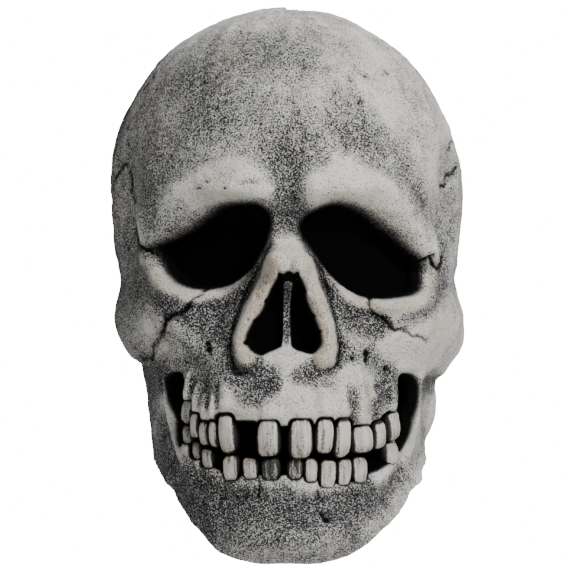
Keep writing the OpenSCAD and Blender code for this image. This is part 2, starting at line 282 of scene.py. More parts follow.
# once the bones stand, lines are laid where they show on the modelled surface
def standOut():
    seen["points"] = mapPoints + outward(mapPoints) * relief[:, None]
    seen["front"] = np.flatnonzero(mapPoints[:, 1] < 0)
    seen["back"] = np.flatnonzero(mapPoints[:, 1] >= 0)
    seen["shaped"] = True


def showsAt(x, z, back):
    if not seen["shaped"]:
        return onHead(x, z, back)
    half = seen["back" if back else "front"]
    points = seen["points"][half]
    return points[np.argmin((points[:, 0] - x) ** 2 + (points[:, 2] - z) ** 2)]


# picks the map points near a line drawn on the head, with their distances from it
def near(line, radius, back=False):
    spots = np.array([showsAt(x, z, back) for x, z in line])
    low, high = spots.min(0) - radius, spots.max(0) + radius
    picked = np.flatnonzero(np.all((seen["points"] > low) & (seen["points"] < high), 1))
    points = seen["points"][picked]
    best = np.full(len(points), 1e9)
    ends = spots[1:] if len(spots) > 1 else spots
    for a, b in zip(spots, ends):
        along = b - a
        t = np.clip((points - a) @ along / max(along @ along, 1e-9), 0, 1)
        best = np.minimum(best, np.linalg.norm(points - a - t[:, None] * along, axis=1))
    return picked, best


def stroke(line, radius, height, target=None, back=False, power=2):
    picked, far = near(line, radius, back)
    target = relief if target is None else target
    target[picked] += height * np.clip(1 - (far / radius) ** 2, 0, 1) ** power


def inkLine(line, reach, edge, soft, back=False, most=1.0):
    picked, far = near(line, reach, back)
    ink[picked] = np.maximum(ink[picked], most * ease((edge - far) / soft))


# the same line with points between its own, each set a little aside
def wanderLine(line, bed, shares, aside):
    wander = [line[0]]
    for a, b in zip(line, line[1:]):
        for t in shares:
            wander.append((a[0] + (b[0] - a[0]) * t + bed.normal(0, aside),
                           a[1] + (b[1] - a[1]) * t + bed.normal(0, aside)))
        wander.append(b)
    return wander


# signed distances in front view, on a plan of the face

planX, planZ = np.meshgrid(np.arange(-100, 100.1, 0.5), np.arange(-14, 300, 0.5))


def readPlan(plan):
    value = between(plan, (mapPoints[:, 2] - planZ[0, 0]) * 2, (mapPoints[:, 0] - planX[0, 0]) * 2)
    return np.where(mapPoints[:, 1] < 0, value, 60.0)


def roundLoop(points, steps=6):
    p = np.array(points, float)
    rows = []
    for a, b, c, d in zip(np.roll(p, 1, 0), p, np.roll(p, -1, 0), np.roll(p, -2, 0)):
        for t in np.arange(steps) / steps:
            rows.append(0.5 * (2 * b + (c - a) * t + (2 * a - 5 * b + 4 * c - d) * t * t
                               + (3 * b - a - 3 * c + d) * t ** 3))
    return np.array(rows)


def loopPlan(points):
    loop = roundLoop(points)
    best = np.full(planX.shape, 1e9)
    inside = np.zeros(planX.shape, bool)
    for a, b in zip(loop, np.roll(loop, -1, 0)):
        along = b - a
        px, pz = planX - a[0], planZ - a[1]
        t = np.clip((px * along[0] + pz * along[1]) / (along @ along), 0, 1)
        best = np.minimum(best, np.hypot(px - t * along[0], pz - t * along[1]))
        crosses = (a[1] > planZ) != (b[1] > planZ)
        level = a[0] + (planZ - a[1]) * along[0] / (along[1] if along[1] else 1e-9)
        inside ^= crosses & (planX < level)
    return np.where(inside, -best, best)


def boxPlan(x0, x1, z0, z1, corner):
    px = np.abs(planX - (x0 + x1) / 2) - (x1 - x0) / 2 + corner
    pz = np.abs(planZ - (z0 + z1) / 2) - (z1 - z0) / 2 + corner
    outer = np.hypot(np.maximum(px, 0), np.maximum(pz, 0))
    return outer + np.minimum(np.maximum(px, pz), 0) - corner


# drawn features of the face, in mm across and mm above the chin, as the face is looked at

face = {
    "eyes": [
        [(-22, 185), (-14, 184.5), (-8.2, 179), (-7.7, 170), (-11, 162), (-18.4, 152),
         (-26.5, 146), (-34.2, 141.8), (-42.8, 139.7), (-50.5, 140.2), (-57, 143.5),
         (-62.2, 148.5), (-66.5, 155), (-69, 161.6), (-61.7, 166.2), (-52, 171.8),
         (-44.4, 177), (-36.7, 182), (-30, 184.4)],
        [(14, 181.5), (23.5, 184.8), (33.2, 183.4), (40.8, 180), (48.5, 174.9), (56.6, 168.3),
         (62.7, 161.6), (68.9, 154.5), (70.4, 148.5), (68.5, 141.6), (64.3, 137.9),
         (56.6, 135.6), (48.5, 134.6), (40.8, 136.1), (33.2, 140.2), (25, 146.9),
         (19.9, 152), (13.3, 159.1), (7.1, 166.2), (5.1, 171), (7.5, 176.8)]],
    "nostrils": [
        [(-2, 147), (-6, 144), (-10, 136), (-13, 129), (-17, 123.5), (-20.4, 115.5),
         (-18.8, 109.8), (-14, 106.2), (-10, 107.6), (-4.8, 109.8), (-2.4, 113), (-1.8, 130)],
        [(3.5, 147.5), (8.2, 143), (10.2, 134.5), (13.9, 125.5), (16.5, 118), (16.8, 111.8),
         (13.4, 107.2), (8.8, 107.6), (3.8, 109.6), (1.8, 113), (1.3, 130)]],
    "socketDepth": 6.4,
    "noseRim": [
        [(-6, 152), (-11.5, 142), (-18, 129.5), (-22.4, 117), (-23, 109), (-21, 104.5)],
        [(8, 152), (12.7, 142), (16.4, 132), (19.0, 120), (20.6, 110), (19.2, 105)]],
    "noseGroove": [
        [(-8, 163), (-15, 150), (-21, 138), (-26.5, 124), (-29, 111), (-27, 101), (-21, 98)],
        [(9, 164), (16.5, 151), (20, 140), (23, 127), (26, 112), (25.5, 102), (21, 98.5)]],
    "zygomaEdge": [(-95, 114), (-86, 109), (-76, 102), (-62.4, 98.8), (-52.6, 97), (-47, 91),
                   (-43, 70), (-36, 40), (36, 40), (46, 70), (51, 86), (54, 93.5), (58, 95.5),
                   (65, 93.6), (73, 93), (80, 95.6), (87, 106), (95, 112)],
}


# way a tooth faces, and what of it shows: its left, right, lower and upper ends
def toothPlace(name):
    spots = np.array([v.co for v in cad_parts[name].data.vertices]) * 1000
    spots[:, 2] -= chinZ * 1000
    x, y, z = (spots.min(0) + spots.max(0)) / 2
    facing = np.array([x / halfWidth(z) ** 2, y / frontDepth(z) ** 2, 0])
    facing /= np.linalg.norm(facing)
    depth = (spots - np.array([x, y, z])) @ facing
    shown = spots[depth > 0.2 * depth.max()]
    return {"facing": facing,
            "shown": (shown[:, 0].min(), shown[:, 0].max(), shown[:, 2].min(), shown[:, 2].max())}


toothNames = [n for n in sorted(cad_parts) if "_tooth_" in n]
toothPlaces = {name: toothPlace(name) for name in toothNames}


def shapeBones():
    stroke([(-70, 174), (-57, 183), (-42, 189.5), (-24, 193), (-12, 189)], 17, 6.5)     # brows
    stroke([(15, 189), (29, 192), (43, 189), (58, 178.5), (71, 164)], 17, 6.5)
    stroke([(1, 203), (0, 176)], 15, -3.5)                          # hollow over the nose
    stroke([(-1, 173), (-1, 170)], 9, -4.5)
    stroke([(88, 232), (78, 262), (62, 276)], 34, -3.4)             # the crown is fuller on the left
    stroke([(-92, 140), (-88, 118)], 20, -6.5)                      # arches set in above the swell
    stroke([(88, 104), (84, 92), (78, 76)], 19, 5.6)
    stroke([(70, 48), (66, 40)], 14, 2.5)
    stroke([(66, 30), (58, 12), (44, 2)], 22, 6.0)
    stroke([(-60, 24), (-50, 10)], 25, -7.0)
    stroke([(-36, 0), (0, -6), (36, 0)], 16, 3.0)
    for side in (-1, 1):
        stroke([(side * 38, 160)], 34, -9, power=1.5)               # sockets
        stroke([(side * 24, 148), (side * 40, 124)], 18, -6)        # hollow under the eye
        stroke([(side * 84, 196), (side * 82, 168)], 24, -5)        # temple
        stroke([(side * 60, 70), (side * 57, 48)], 15, -3)          # hollow of the cheek
        stroke([(side * 36, 4), (side * 50, 17), (side * 58, 30)], 14, 2.5)             # jaw line
        stroke([(side * 40, 112), (side * 33, 96)], 13, 2.5)
    cheek = np.zeros(len(mapPoints))
    stroke([(-58, 127), (-76, 120), (-88, 116)], 29, 8.4, cheek)
    stroke([(62, 121), (80, 114), (90, 118)], 30, 11, cheek)
    edge = np.array(face["zygomaEdge"])
    over = mapPoints[:, 2] - np.interp(mapPoints[:, 0], edge[:, 0], edge[:, 1])
    kept = np.where(np.abs(mapPoints[:, 0]) > 43, ease((over + 1.5) / 4), 1)
    relief[:] += cheek * kept
    stroke([(-1.5, 167), (-1, 158), (1, 150)], 11, 8, power=1.2)    # bridge of the nose
    stroke([(0, 158), (1, 147)], 16, 4, power=1.2)
    for line in face["noseRim"]:
        stroke(line, 7.0, 7.5, power=0.8)                           # raised rim of the nose
    for line in face["noseGroove"]:
        stroke(line, 4.5, -3.0)
    stroke([(-12, 104), (0, 103), (12, 104)], 8, 2.5)
    stroke([(-34, 86), (-16, 84), (0, 83), (16, 84), (34, 86)], 22, 3.5)
    stroke([(0, 100), (-1, 88)], 8, 2)
    stroke([(-18, 10), (0, 8), (20, 10)], 22, 4)                    # chin
    stroke([(-30, 29), (0, 26), (30, 29)], 13, -3)
    stroke([(-61, 93), (-61, 72), (-56, 57), (-48, 44)], 5, 2.5)    # edges of the jaw's branches
    stroke([(66, 93), (64.5, 72), (58.5, 57), (49, 46), (45, 40)], 7, 2.5)
    stroke([(60, 46), (49, 31)], 4, -2.5)
    print("bones shaped")


def cutHollows():
    for loop in face["eyes"]:
        away = readPlan(loopPlan(loop))
        lower = ease((180 - mapPoints[:, 2]) / 40)
        relief[:] += (0.8 + 3.2 * lower) * np.exp(-((away - 4.0) / 3.4) ** 2)
        relief[:] -= face["socketDepth"] * ease((1.2 - away) / 4.5)
        opening[:] = np.minimum(opening, away + 2.2)
        brow = 1 - lower
        # black paint in the socket, fading up under the brow as painted shade
        ink[:] = np.maximum(ink, ease((0.6 + 2.2 * brow - away) / (1.4 + 4 * brow)))
        wash[:] += 0.7 * brow * ease((8 - away) / 8)                # shade runs up on to the brow
        warmth[:] = np.maximum(warmth, 0.5 * brow * ease((9 - away) / 5))
        warmth[:] = np.maximum(warmth, np.exp(-((away - 4) / 3.5) ** 2) * lower)
    for loop in face["nostrils"]:
        away = readPlan(loopPlan(loop))
        relief[:] -= 7.0 * ease((0.6 - away) / 2.4)
        opening[:] = np.minimum(opening, away + 1.5)
        ink[:] = np.maximum(ink, ease((0.5 - away) / 1.0))
    stroke([(0, 141), (-0.5, 114)], 3.2, -5.5)                       # the septum stands back
    # wash and painted shade darken the sunken septum
    stroke([(0, 146), (-0.5, 118)], 4.5, 1.5, wash)
    picked, far = near([(-1.2, 146), (0.8, 147), (2.6, 146)], 4.0)
    relief[picked] -= 3.5 * ease((3.6 - far) / 2)
    ink[picked] = np.maximum(ink[picked], ease((3.2 - far) / 1.4))
    print("eye and nose hollows cut")


mouth = {
    "margin": 1.0,          # black line round each tooth, mm
    "depth": 4.2,           # the cut falls back this far
    "roots": 2.0,           # swell of each root under the gum
    "gumDip": 2.4,          # how far the gum comes down between two teeth
    "slots": [[(-61, 95), (-57, 98), (-53, 95), (-52.4, 84), (-52.4, 72), (-53, 62), (-55, 59),
               (-57.2, 64), (-59.2, 74), (-60.8, 86)],
              [(56.5, 95), (60.5, 97), (64.6, 94), (65.2, 84), (64, 74), (61.8, 63), (59.4, 56.5),
               (57.6, 58), (57.6, 68), (57, 82)]],
    "gap": (-26, -14.5, 56, 73.5),
}


def cutMouth():
    upper = [toothPlaces[n]["shown"] for n in toothNames if n.startswith("upper")]
    lower = [toothPlaces[n]["shown"] for n in toothNames if n.startswith("lower")]
    dip = mouth["gumDip"]
    rim = []
    for x0, x1, z0, z1 in sorted(upper):
        rim.append(((x0 + x1) / 2, z1 - dip))
    for x0, x1, z0, z1 in sorted(lower, reverse=True):
        rim.append(((x0 + x1) / 2, z0 + dip * 0.6))
    plan = loopPlan(rim)
    for x0, x1, z0, z1 in upper:
        x = (x0 + x1) / 2
        stroke([(x, z1 - 2), (x * 0.96, z1 + 13)], (x1 - x0) * 0.62, mouth["roots"])
    for x0, x1, z0, z1 in lower:
        x = (x0 + x1) / 2
        stroke([(x, z0 + 2), (x * 0.96, z0 - 8)], (x1 - x0) * 0.62, mouth["roots"] * 0.7)
    m = mouth["margin"]
    for x0, x1, z0, z1 in upper + lower:
        plan = np.minimum(plan, boxPlan(x0 - m, x1 + m, z0 - m, z1 + m, 3.4))
    plan = np.minimum(plan, boxPlan(*mouth["gap"], 2.5))
    for slot in mouth["slots"]:
        plan = np.minimum(plan, loopPlan(slot))
    away = readPlan(plan)
    relief[:] += 1.2 * np.exp(-((away - 3.0) / 2.5) ** 2)
    relief[:] -= mouth["depth"] * ease((0.4 - away) / 2.2)
    opening[:] = np.minimum(opening, away + 1.4)
    ink[:] = np.maximum(ink, ease((0.6 - away) / 1.0))
    print("mouth cut")


# cracks, pits and folds that the skin takes after it is meshed, and where the wash, the painted shade
# and the painted highlights lie

fine = np.zeros(len(mapPoints))
marks = {
    "cracks": [     # line, depth, half width, mm
        ([(-78.5, 171), (-77.5, 165.5), (-74.4, 161), (-69, 159.3)], 1.8, 1.5),
        ([(-40.5, 141), (-44.5, 137.2), (-48.5, 135.3), (-50, 131)], 1.2, 0.9),
        ([(-50, 131), (-53.7, 128), (-59.8, 126.2), (-64, 123.4), (-65, 117.7)], 2.4, 1.9),
        ([(-65, 117.7), (-68, 112), (-69.7, 108.5), (-70.5, 103)], 1.6, 1.1),
        ([(-70.5, 103), (-76, 103.6)], 1.2, 0.9),
        ([(69, 154), (73.6, 155.6), (75.2, 152), (78.3, 151), (79.8, 153.6), (80.5, 159)], 2, 1.6),
        ([(73.6, 155.6), (76, 157)], 1.4, 1.2),
        ([(41.5, 136), (42.4, 130), (44, 127), (48.5, 125.3)], 1.3, 1.0),
        ([(48.5, 125.3), (52.1, 121.8), (55.2, 118.6), (59.8, 118.8)], 1.8, 1.3),
        ([(59.8, 118.8), (64.4, 115.3), (68.5, 113.8), (73, 112)], 1.3, 0.9),
        ([(-74.4, 244.6), (-70.5, 248), (-68.8, 252)], 1.0, 0.9),
        ([(-90, 195.8), (-87, 201), (-83, 205.2), (-81, 202), (-80, 193), (-78.5, 186.5)], 1.4, 1.1),
        ([(85.5, 217.7), (83.2, 211)], 1.0, 0.9),
        ([(89, 203.6), (86.8, 200.5), (81.6, 198), (81, 193.2), (78, 193.7)], 1.4, 1.1),
        ([(-13.8, 41.8), (-14, 33.5)], 0.9, 0.9),
        ([(15.8, 37.8), (16.2, 31.5)], 0.9, 0.8)],
    "pits": [       # across, height, half width, depth
        (-41, 113, 1.8, 2.6), (-40.6, 109.5, 2.2, 2.8), (41.8, 107.5, 2.6, 2.8),
        (41.2, 104, 1.8, 2.0), (33.6, 105, 1.5, 1.5), (51, 99, 1.8, 1.8), (50.8, 252, 1.4, 1.2),
        (40, 249.5, 1.3, 1.0), (32.3, 247.4, 1.3, 1.0), (37, 235.6, 1.2, 1.0),
        (-32.2, 191.2, 1.2, 1.0), (-41, 194.8, 1.3, 1.0), (-46.5, 190.2, 1.2, 0.9),
        (-82.5, 224, 1.4, 1.2), (-82.5, 215.2, 1.4, 1.2), (20, 23, 2.4, 1.4), (17.5, 25, 1.8, 1.2)],
    "gouges": [([(-25.5, 194), (-20, 195.2), (-15.8, 194.4)], 1.5, 1.2),
               ([(22, 193), (26, 191.8), (30, 191)], 1.4, 1.1),
               ([(24, 194.6), (29, 194.2)], 1.0, 0.8)],
    "folds": [([(-48, 92), (-47.5, 82), (-46, 74)], 1.6, 2.2), ([(-42, 92), (-41.5, 82)], 1.3, 1.8),
              ([(-37.5, 91), (-37, 80)], 1.2, 1.7), ([(46, 91), (47, 76), (51, 70)], 1.4, 2.0),
              ([(52.5, 88), (51, 76)], 1.4, 2.2)],
    "notches": [[(-11.5, 144), (-7, 140)], [(-15.6, 136.5), (-10.5, 134)],
                [(-21, 125), (-14.5, 124.5)], [(-22.5, 113), (-18, 113.5)],
                [(8, 140), (12.5, 139)], [(12, 127), (17, 127.5)], [(14.5, 118), (20, 120)],
                [(-3, 146), (-4.5, 149)], [(5, 146), (5.5, 149.5)]],
}
shades = [          # painted shade and painted highlights laid into the wash: line, reach in mm, and strength, which is below zero where it lightens
    ([(1, 224), (2, 210), (2, 198)], 17, 0.60),
    ([(0, 186), (-1, 178), (0, 171)], 12, 1.30),
    ([(-50, 251), (-42, 227), (-66, 203), (-72, 183)], 17, 0.50),
    ([(-40, 235), (-26, 228)], 18, 0.30),
    ([(-50, 262), (-14, 250)], 24, 0.30),
    ([(33, 230), (49, 207), (64, 188), (72, 173)], 14, 0.40),
    ([(-11, 265), (4, 258)], 17, 0.45),
    ([(-64, 133), (-47, 129.8), (-31, 133)], 9, 1.10),
    ([(-38, 126), (-28, 126), (-22, 138), (-14, 154)], 9, 1.30),
    ([(-32, 120), (-29, 112), (-26, 102)], 10, 1.10),
    ([(-56, 116), (-44, 104)], 13, 0.50),
    ([(-77, 140), (-69, 133)], 11, 0.50),
    ([(18, 149), (24.6, 133), (35, 125.5), (45, 123)], 8.5, 1.40),
    ([(28, 120), (25.5, 108)], 7, 0.40),
    ([(33.7, 107), (41.7, 106), (49.7, 99)], 7, 0.50),
    ([(80, 146), (73, 135), (64, 127)], 9, 0.90),
    ([(-17.5, 100), (-9, 94)], 7, 1.40),
    ([(-21, 87), (-14, 88), (-8, 90)], 6, 1.00),
    ([(5.8, 97), (13, 98.5)], 6, 1.20),
    ([(34, 87), (35, 74)], 5, 0.90),
    ([(48, 87), (46, 77)], 5, 1.00),
    ([(54, 86), (57, 73)], 8, 0.80),
    ([(-39, 97), (-30, 95)], 8, 0.80),
    ([(-55, 97), (-46, 88)], 9, 0.70),
    ([(-47, 36), (-33, 32), (-20, 27), (-6, 26), (8, 26), (25, 30), (38, 36)], 10, 1.50),
    ([(-62, 58), (-54, 44), (-44, 32)], 15, 1.80),
    ([(50, 46), (44, 34)], 10, 0.60),
    ([(-70, 98), (-72, 66), (-62, 34), (-44, 12)], 13, 1.10),
    ([(66, 90), (70, 60)], 8, 0.25),
    ([(-92, 215), (-90, 160)], 20, 0.60),
    ([(-88, 232), (-80, 255)], 22, 0.40),
    ([(-88, 150), (-90, 115)], 14, 0.35),
    ([(88, 200), (85, 160)], 18, 0.25),
    ([(-71, 172), (-54, 179)], 8, 0.45),
    ([(-34, 44), (-16, 42), (2, 40)], 8, 0.75),
    ([(44, 34), (32, 22)], 8, 0.40),
    ([(-44, 80), (-41, 90)], 6, 0.50),
    ([(-60, 134), (-50, 126)], 7, 0.50),
    ([(18, 82), (30, 80)], 7, -0.45),
    ([(-46, 197), (-24, 200), (-12, 196)], 14, -0.30),
    ([(14, 197), (32, 200), (50, 192)], 15, -0.35),
    ([(-44, 222), (-58, 236)], 15, -0.10),
    ([(34, 246), (46, 254)], 18, -0.15),
    ([(-34, 9), (0, 5), (30, 10)], 13, 0.50),
    ([(-46, 22), (-20, 16), (6, 16), (30, 20)], 9, 0.60),
    ([(-62, 42), (-40, 38), (-24, 36)], 11, 0.80),
    ([(56, 44), (48, 30)], 9, 0.50),
    ([(-77, 98), (-64, 94)], 8, 2.20),
    ([(-58, 52), (-46, 40)], 10, 0.80),
    ([(72, 92), (66, 84)], 8, 0.50),
    ([(-84, 240), (-92, 200)], 16, 0.25),
    ([(52, 96), (66, 91), (75, 91)], 6, 0.90),
    ([(22, 218), (38, 217)], 9, 0.35),
    ([(52, 232), (56, 236)], 12, -0.30),
    ([(-6, 206), (8, 206)], 13, 0.35),
    ([(-66, 236), (-50, 240)], 20, 0.30),
    ([(0, 164), (1, 152)], 11, -0.60),
    ([(-62, 113), (-68, 126)], 13, -0.25),
    ([(58, 107), (74, 104)], 13, -0.45),
    ([(0, 98), (2, 84)], 10, -0.50),
    ([(-67, 148), (-60, 141), (-50, 135.5), (-34, 137), (-22, 145)], 4.5, -0.75),
    ([(20, 147), (34, 135), (50, 130), (66, 133), (75, 144)], 5, -0.85),
    ([(66, 92), (64.5, 72), (58.5, 57), (49, 44)], 7, -0.40),
    ([(-61, 93), (-61, 72), (-55, 56)], 4, -0.70),
    ([(-30, 86), (-28, 76)], 6, -0.30),
    ([(12, 84), (14, 76)], 8, -0.30),
    ([(16, 44), (34, 47)], 5, -0.50)]


def cutSlit():
    foot, top, wide, narrow, stop = form["slit"]
    x, z = np.abs(mapPoints[:, 0]), mapPoints[:, 2]
    away = np.maximum(x - np.interp(z, (foot, top), (wide, narrow)), z - top)
    away = np.minimum(away, np.hypot(x, z - top) - stop)
    behind = mapPoints[:, 1] > 20
    opening[behind] = np.minimum(opening[behind], away[behind])
    print("slit cut")


backMarks = {
    "sutures": [[(0, 283), (1.5, 272), (-1.5, 262), (1, 252), (-1.5, 242), (1.5, 232), (0, 222)],
                [(0, 222), (-9, 217), (-15, 219), (-24, 208), (-31, 209), (-40, 196), (-47, 197),
                 (-56, 182), (-63, 180), (-70, 166)],
                [(0, 222), (8, 219), (16, 214), (23, 216), (33, 203), (39, 204), (48, 190),
                 (55, 190), (64, 174), (71, 168)],
                [(-34, 176), (-30, 170), (-33, 163), (-27, 157)]],
    "shades": [([(0, 216), (0, 196)], 26, 0.25), ([(-50, 150), (50, 150)], 24, 0.3),
               ([(-70, 110), (-64, 70)], 24, 0.35), ([(70, 110), (64, 70)], 24, 0.35),
               ([(-20, 90), (20, 90)], 22, 0.2), ([(-60, 220), (-30, 240)], 22, 0.2),
               ([(0, 176), (0, 168)], 20, -0.3), ([(50, 222), (30, 240)], 20, -0.15)],
}


def shapeBack():
    stroke([(-26, 166), (0, 170), (26, 166)], 22, 3.5, back=True)       # occipital swell
    stroke([(-60, 148), (-30, 138), (0, 141), (30, 138), (60, 148)], 14, -2.2, back=True)
    bed = np.random.default_rng(21)
    for line in backMarks["sutures"]:
        wander = wanderLine(line, bed, (0.25, 0.5, 0.75), 1.0)
        stroke(wander, 1.8, -1.3, fine, True, 1)
        inkLine(wander, 2.2, 1.2, 0.9, True)
        stroke(wander, 6, 0.3, wash, True)
    for line, reach, strength in backMarks["shades"]:
        stroke(line, reach * 1.5, strength, wash, True)
    print("back shaped")


def addMarks():
    bed = np.random.default_rng(11)
    for line, depth, half in marks["cracks"]:
        wander = wanderLine(line, bed, (0.33, 0.66), 0.35)
        stroke(wander, half * 1.5, -depth, fine, power=1)
        stroke(wander, half * 2.4, 0.35, fine)
        inkLine(wander, half * 1.3, half * 1.05, 0.7)
        stroke(wander, half * 4, 0.25, wash)
    for x, z, half, depth in marks["pits"]:
        stroke([(x, z)], half * 1.4, -depth, fine, power=1)
        inkLine([(x, z)], half * 1.5, half * 1.1, 0.7)
        stroke([(x, z)], half * 3, 0.3, wash)
    for line, depth, half in marks["gouges"] + marks["folds"]:
        stroke(line, half * 1.7, -depth, fine)
        stroke(line, half * 1.8, 0.9, wash)
    fine[:] = np.maximum(fine, -1.6)                                # nothing cuts through the skin
    for line in marks["notches"]:
        stroke(line, 1.7, -1.5, fine)
        stroke(line, 1.2, 0.7, wash)
    for line in face["noseGroove"]:
        inkLine(line, 2.4, 1.5, 1.2, most=0.9)
        stroke(line, 6, 0.5, wash)
    for line in face["noseRim"]:
        stroke(line, 7, -0.7, wash)
        stroke(line, 7, 1.2, warmth, power=1)
    print("cracks, pits and folds drawn")


mapWaves = (np.fft.fftfreq(mapSize[0], mapStep["up"])[:, None] ** 2
            + np.fft.fftfreq(mapSize[1], mapStep["angle"] * mapStep["radius"])[None, :] ** 2)


def filtered(values, keep):
    return np.fft.ifft2(np.fft.fft2(values.reshape(mapSize)) * keep).real.reshape(-1)


# random swells of one size over the maps
def swells(size, seed):
    bed = np.random.default_rng(seed).normal(size=mapSize)
    field = filtered(bed, np.exp(-(mapWaves * size ** 2) * 5))
    return field / field.std()


def soften(values, radius):
    return filtered(values, np.exp(-2 * (math.pi * radius) ** 2 * mapWaves))


washAndShadeAmounts = {
    "base": 0.22,           # wash everywhere
    "left": 0.40,           # more of it round the left side, as painted shade away from the key light
    "hollow": 0.24,         # and in hollows, for each mm of depth: wash gathered there and painted shade, with painted highlight on the swells
    "broad": 0.07,
    "mottle": 0.05,
    "least": 0.04,
    "most": 0.90,
    "bumps": [(16, 3, 0.45), (6, 4, 0.22)],     # size in mm, seed, height in mm
    "grain": (2.4, 5, 0.10),
}


def layWashAndShade():
    # painted shade and painted highlights along the drawn lines
    for line, reach, strength in shades:
        stroke(line, reach * 1.5, strength, wash)
    # painted shade down the far left side
    stroke([(-92, 120), (-92, 260)], 40, 0.12, wash)
    relief[:] += sum(height * swells(size, seed) for size, seed, height in washAndShadeAmounts["bumps"])
    size, seed, height = washAndShadeAmounts["grain"]
    fine[:] += height * swells(size, seed) * ease((opening + 1) / 4)
    # darker in hollows and lighter on swells: wash gathered in hollows, and painted shade and painted
    # highlight
    hollow = soften(relief, 3.5) - relief
    broad = soften(relief, 9) - relief
    wash[:] += (np.clip(washAndShadeAmounts["hollow"] * hollow, -0.35, 0.6)
                + np.clip(washAndShadeAmounts["broad"] * broad, -0.25, 0.3))
    # painted shade round the left side, then the even wash and its random mottle
    left = ease((-mapPoints[:, 0] - 48) / 40)
    wash[:] += (washAndShadeAmounts["base"] + washAndShadeAmounts["left"] * left
                + washAndShadeAmounts["mottle"] * (swells(9, 6) + swells(24, 7)))
    wash[:] = washAndShadeAmounts["least"] + washAndShadeAmounts["most"] * (1 - np.exp(-np.clip(wash, 0, 2) / 0.72))
    print("wash laid")


shapeBones()
cutHollows()
cutMouth()
cutSlit()
shapeBack()
standOut()
addMarks()
layWashAndShade()


# the skin as a closed shell, from the maps

def settle(values, radius, pick):
    grid = values.reshape(mapSize)
    reach = int(radius / mapStep["up"])
    for axis in (0, 1):
        total = grid.copy()
        for shift in range(-reach, reach + 1):
            moved = np.roll(grid, shift, axis)
            total = np.minimum(total, moved) if pick == "least" else total + moved
        grid = total if pick == "least" else total / (2 * reach + 2)
    return grid.reshape(-1)


innerRelief = settle(settle(relief, 2.4, "least"), 2.0, "mean")
innerRelief = np.minimum(innerRelief, relief) - form["skin"]


def shellField(points, front):
    angle, up, out = unwrap(points)
    outer = out - readMap(relief, angle, up)
    inner = out - readMap(innerRelief, angle, up)
    hole = readMap(opening, angle, up)
    hem = edgeHeight(np.degrees(np.abs(angle))) - points[:, 2]
    half = points[:, 1] + 0.05 if front else 0.05 - points[:, 1]
    return np.maximum.reduce([outer, -inner, -hole, hem, half])


# surface nets over a narrow band of cells
def netShell(front):
    step = form["faceVoxel"] if front else form["backVoxel"]
    low = np.array([-106.0, -132.0 if front else -4.0, -8.0])
    high = np.array([106.0, 4.0 if front else 126.0, 292.0])
    size = np.ceil((high - low) / step).astype(int) + 1
    block = 4
    counts = np.ceil(size / block).astype(int)
    size = counts * block + 1
    grid = np.stack(np.meshgrid(*[np.arange(n) for n in counts], indexing="ij"), -1).reshape(-1, 3)
    centres = low + (grid + 0.5) * block * step
    kept = grid[np.abs(shellField(centres, front)) < form["band"]]
    values = np.full(size, np.nan, np.float32)
    offsets = np.stack(np.meshgrid(*[np.arange(block + 1)] * 3, indexing="ij"), -1).reshape(-1, 3)
    for start in range(0, len(kept), 4000):
        nodes = (kept[start:start + 4000, None] * block + offsets).reshape(-1, 3)
        values[tuple(nodes.T)] = shellField(low + nodes * step, front)
    inside = values < 0
    corners = [(a, b, c) for a in (0, 1) for b in (0, 1) for c in (0, 1)]
    full = size - 1

    def corner(array, c):
        return array[c[0]:c[0] + full[0], c[1]:c[1] + full[1], c[2]:c[2] + full[2]]

    known = np.ones(full, bool)
    count = np.zeros(full, np.int8)
    for c in corners:
        known &= ~np.isnan(corner(values, c))
        count += corner(inside, c)
    cells = np.flatnonzero((known & (count > 0) & (count < 8)).reshape(-1))
    index = np.full(full, -1, np.int32)
    index.reshape(-1)[cells] = np.arange(len(cells))
    cell = np.stack(np.unravel_index(cells, full), -1)
    total, weight = np.zeros((len(cells), 3)), np.zeros(len(cells))
    for a in corners:
        for axis in range(3):
            if a[axis]:
                continue
            b = tuple(v + (k == axis) for k, v in enumerate(a))
            fa = values[tuple((cell + a).T)].astype(float)
            fb = values[tuple((cell + b).T)].astype(float)
            crossed = (fa < 0) != (fb < 0)
            t = np.where(crossed, fa / np.where(crossed, fa - fb, 1), 0)
            spot = np.array(a, float) + t[:, None] * (np.array(b) - np.array(a))
            total += spot * crossed[:, None]
            weight += crossed
    points = low + (cell + total / weight[:, None]) * step
    quads = []
    for axis in range(3):
        u, v = (axis + 1) % 3, (axis + 2) % 3
        ahead = np.roll(inside, -1, axis)
        edges = np.stack(np.nonzero(inside != ahead), -1)
        edges = edges[(edges[:, axis] < full[axis]) & (edges[:, u] > 0) & (edges[:, v] > 0)
                      & (edges[:, u] < full[u]) & (edges[:, v] < full[v])]
        outwards = inside[tuple(edges.T)]
        ring = []
        for du, dv in ((0, 0), (1, 0), (1, 1), (0, 1)):
            spot = edges.copy()
            spot[:, u] -= du
            spot[:, v] -= dv
            ring.append(index[tuple(spot.T)])
        ring = np.stack(ring, -1)
        ring[~outwards] = ring[~outwards][:, ::-1]
        quads.append(ring[(ring >= 0).all(1)])
    return points, np.concatenate(quads)


def meshFrom(name, points, faces):
    mesh = bpy.data.meshes.new(name)
    mesh.vertices.add(len(points))
    mesh.vertices.foreach_set("co", points.astype(np.float32).reshape(-1))
    sides = faces.shape[1]
    mesh.loops.add(faces.size)
    mesh.loops.foreach_set("vertex_index", faces.reshape(-1).astype(np.int32))
    mesh.polygons.add(len(faces))
    mesh.polygons.foreach_set("loop_start", np.arange(0, faces.size, sides, dtype=np.int32))
    mesh.update(calc_edges=True)
    mesh.validate()
    item = bpy.data.objects.new(name, mesh)
    bpy.context.collection.objects.link(item)
    return item


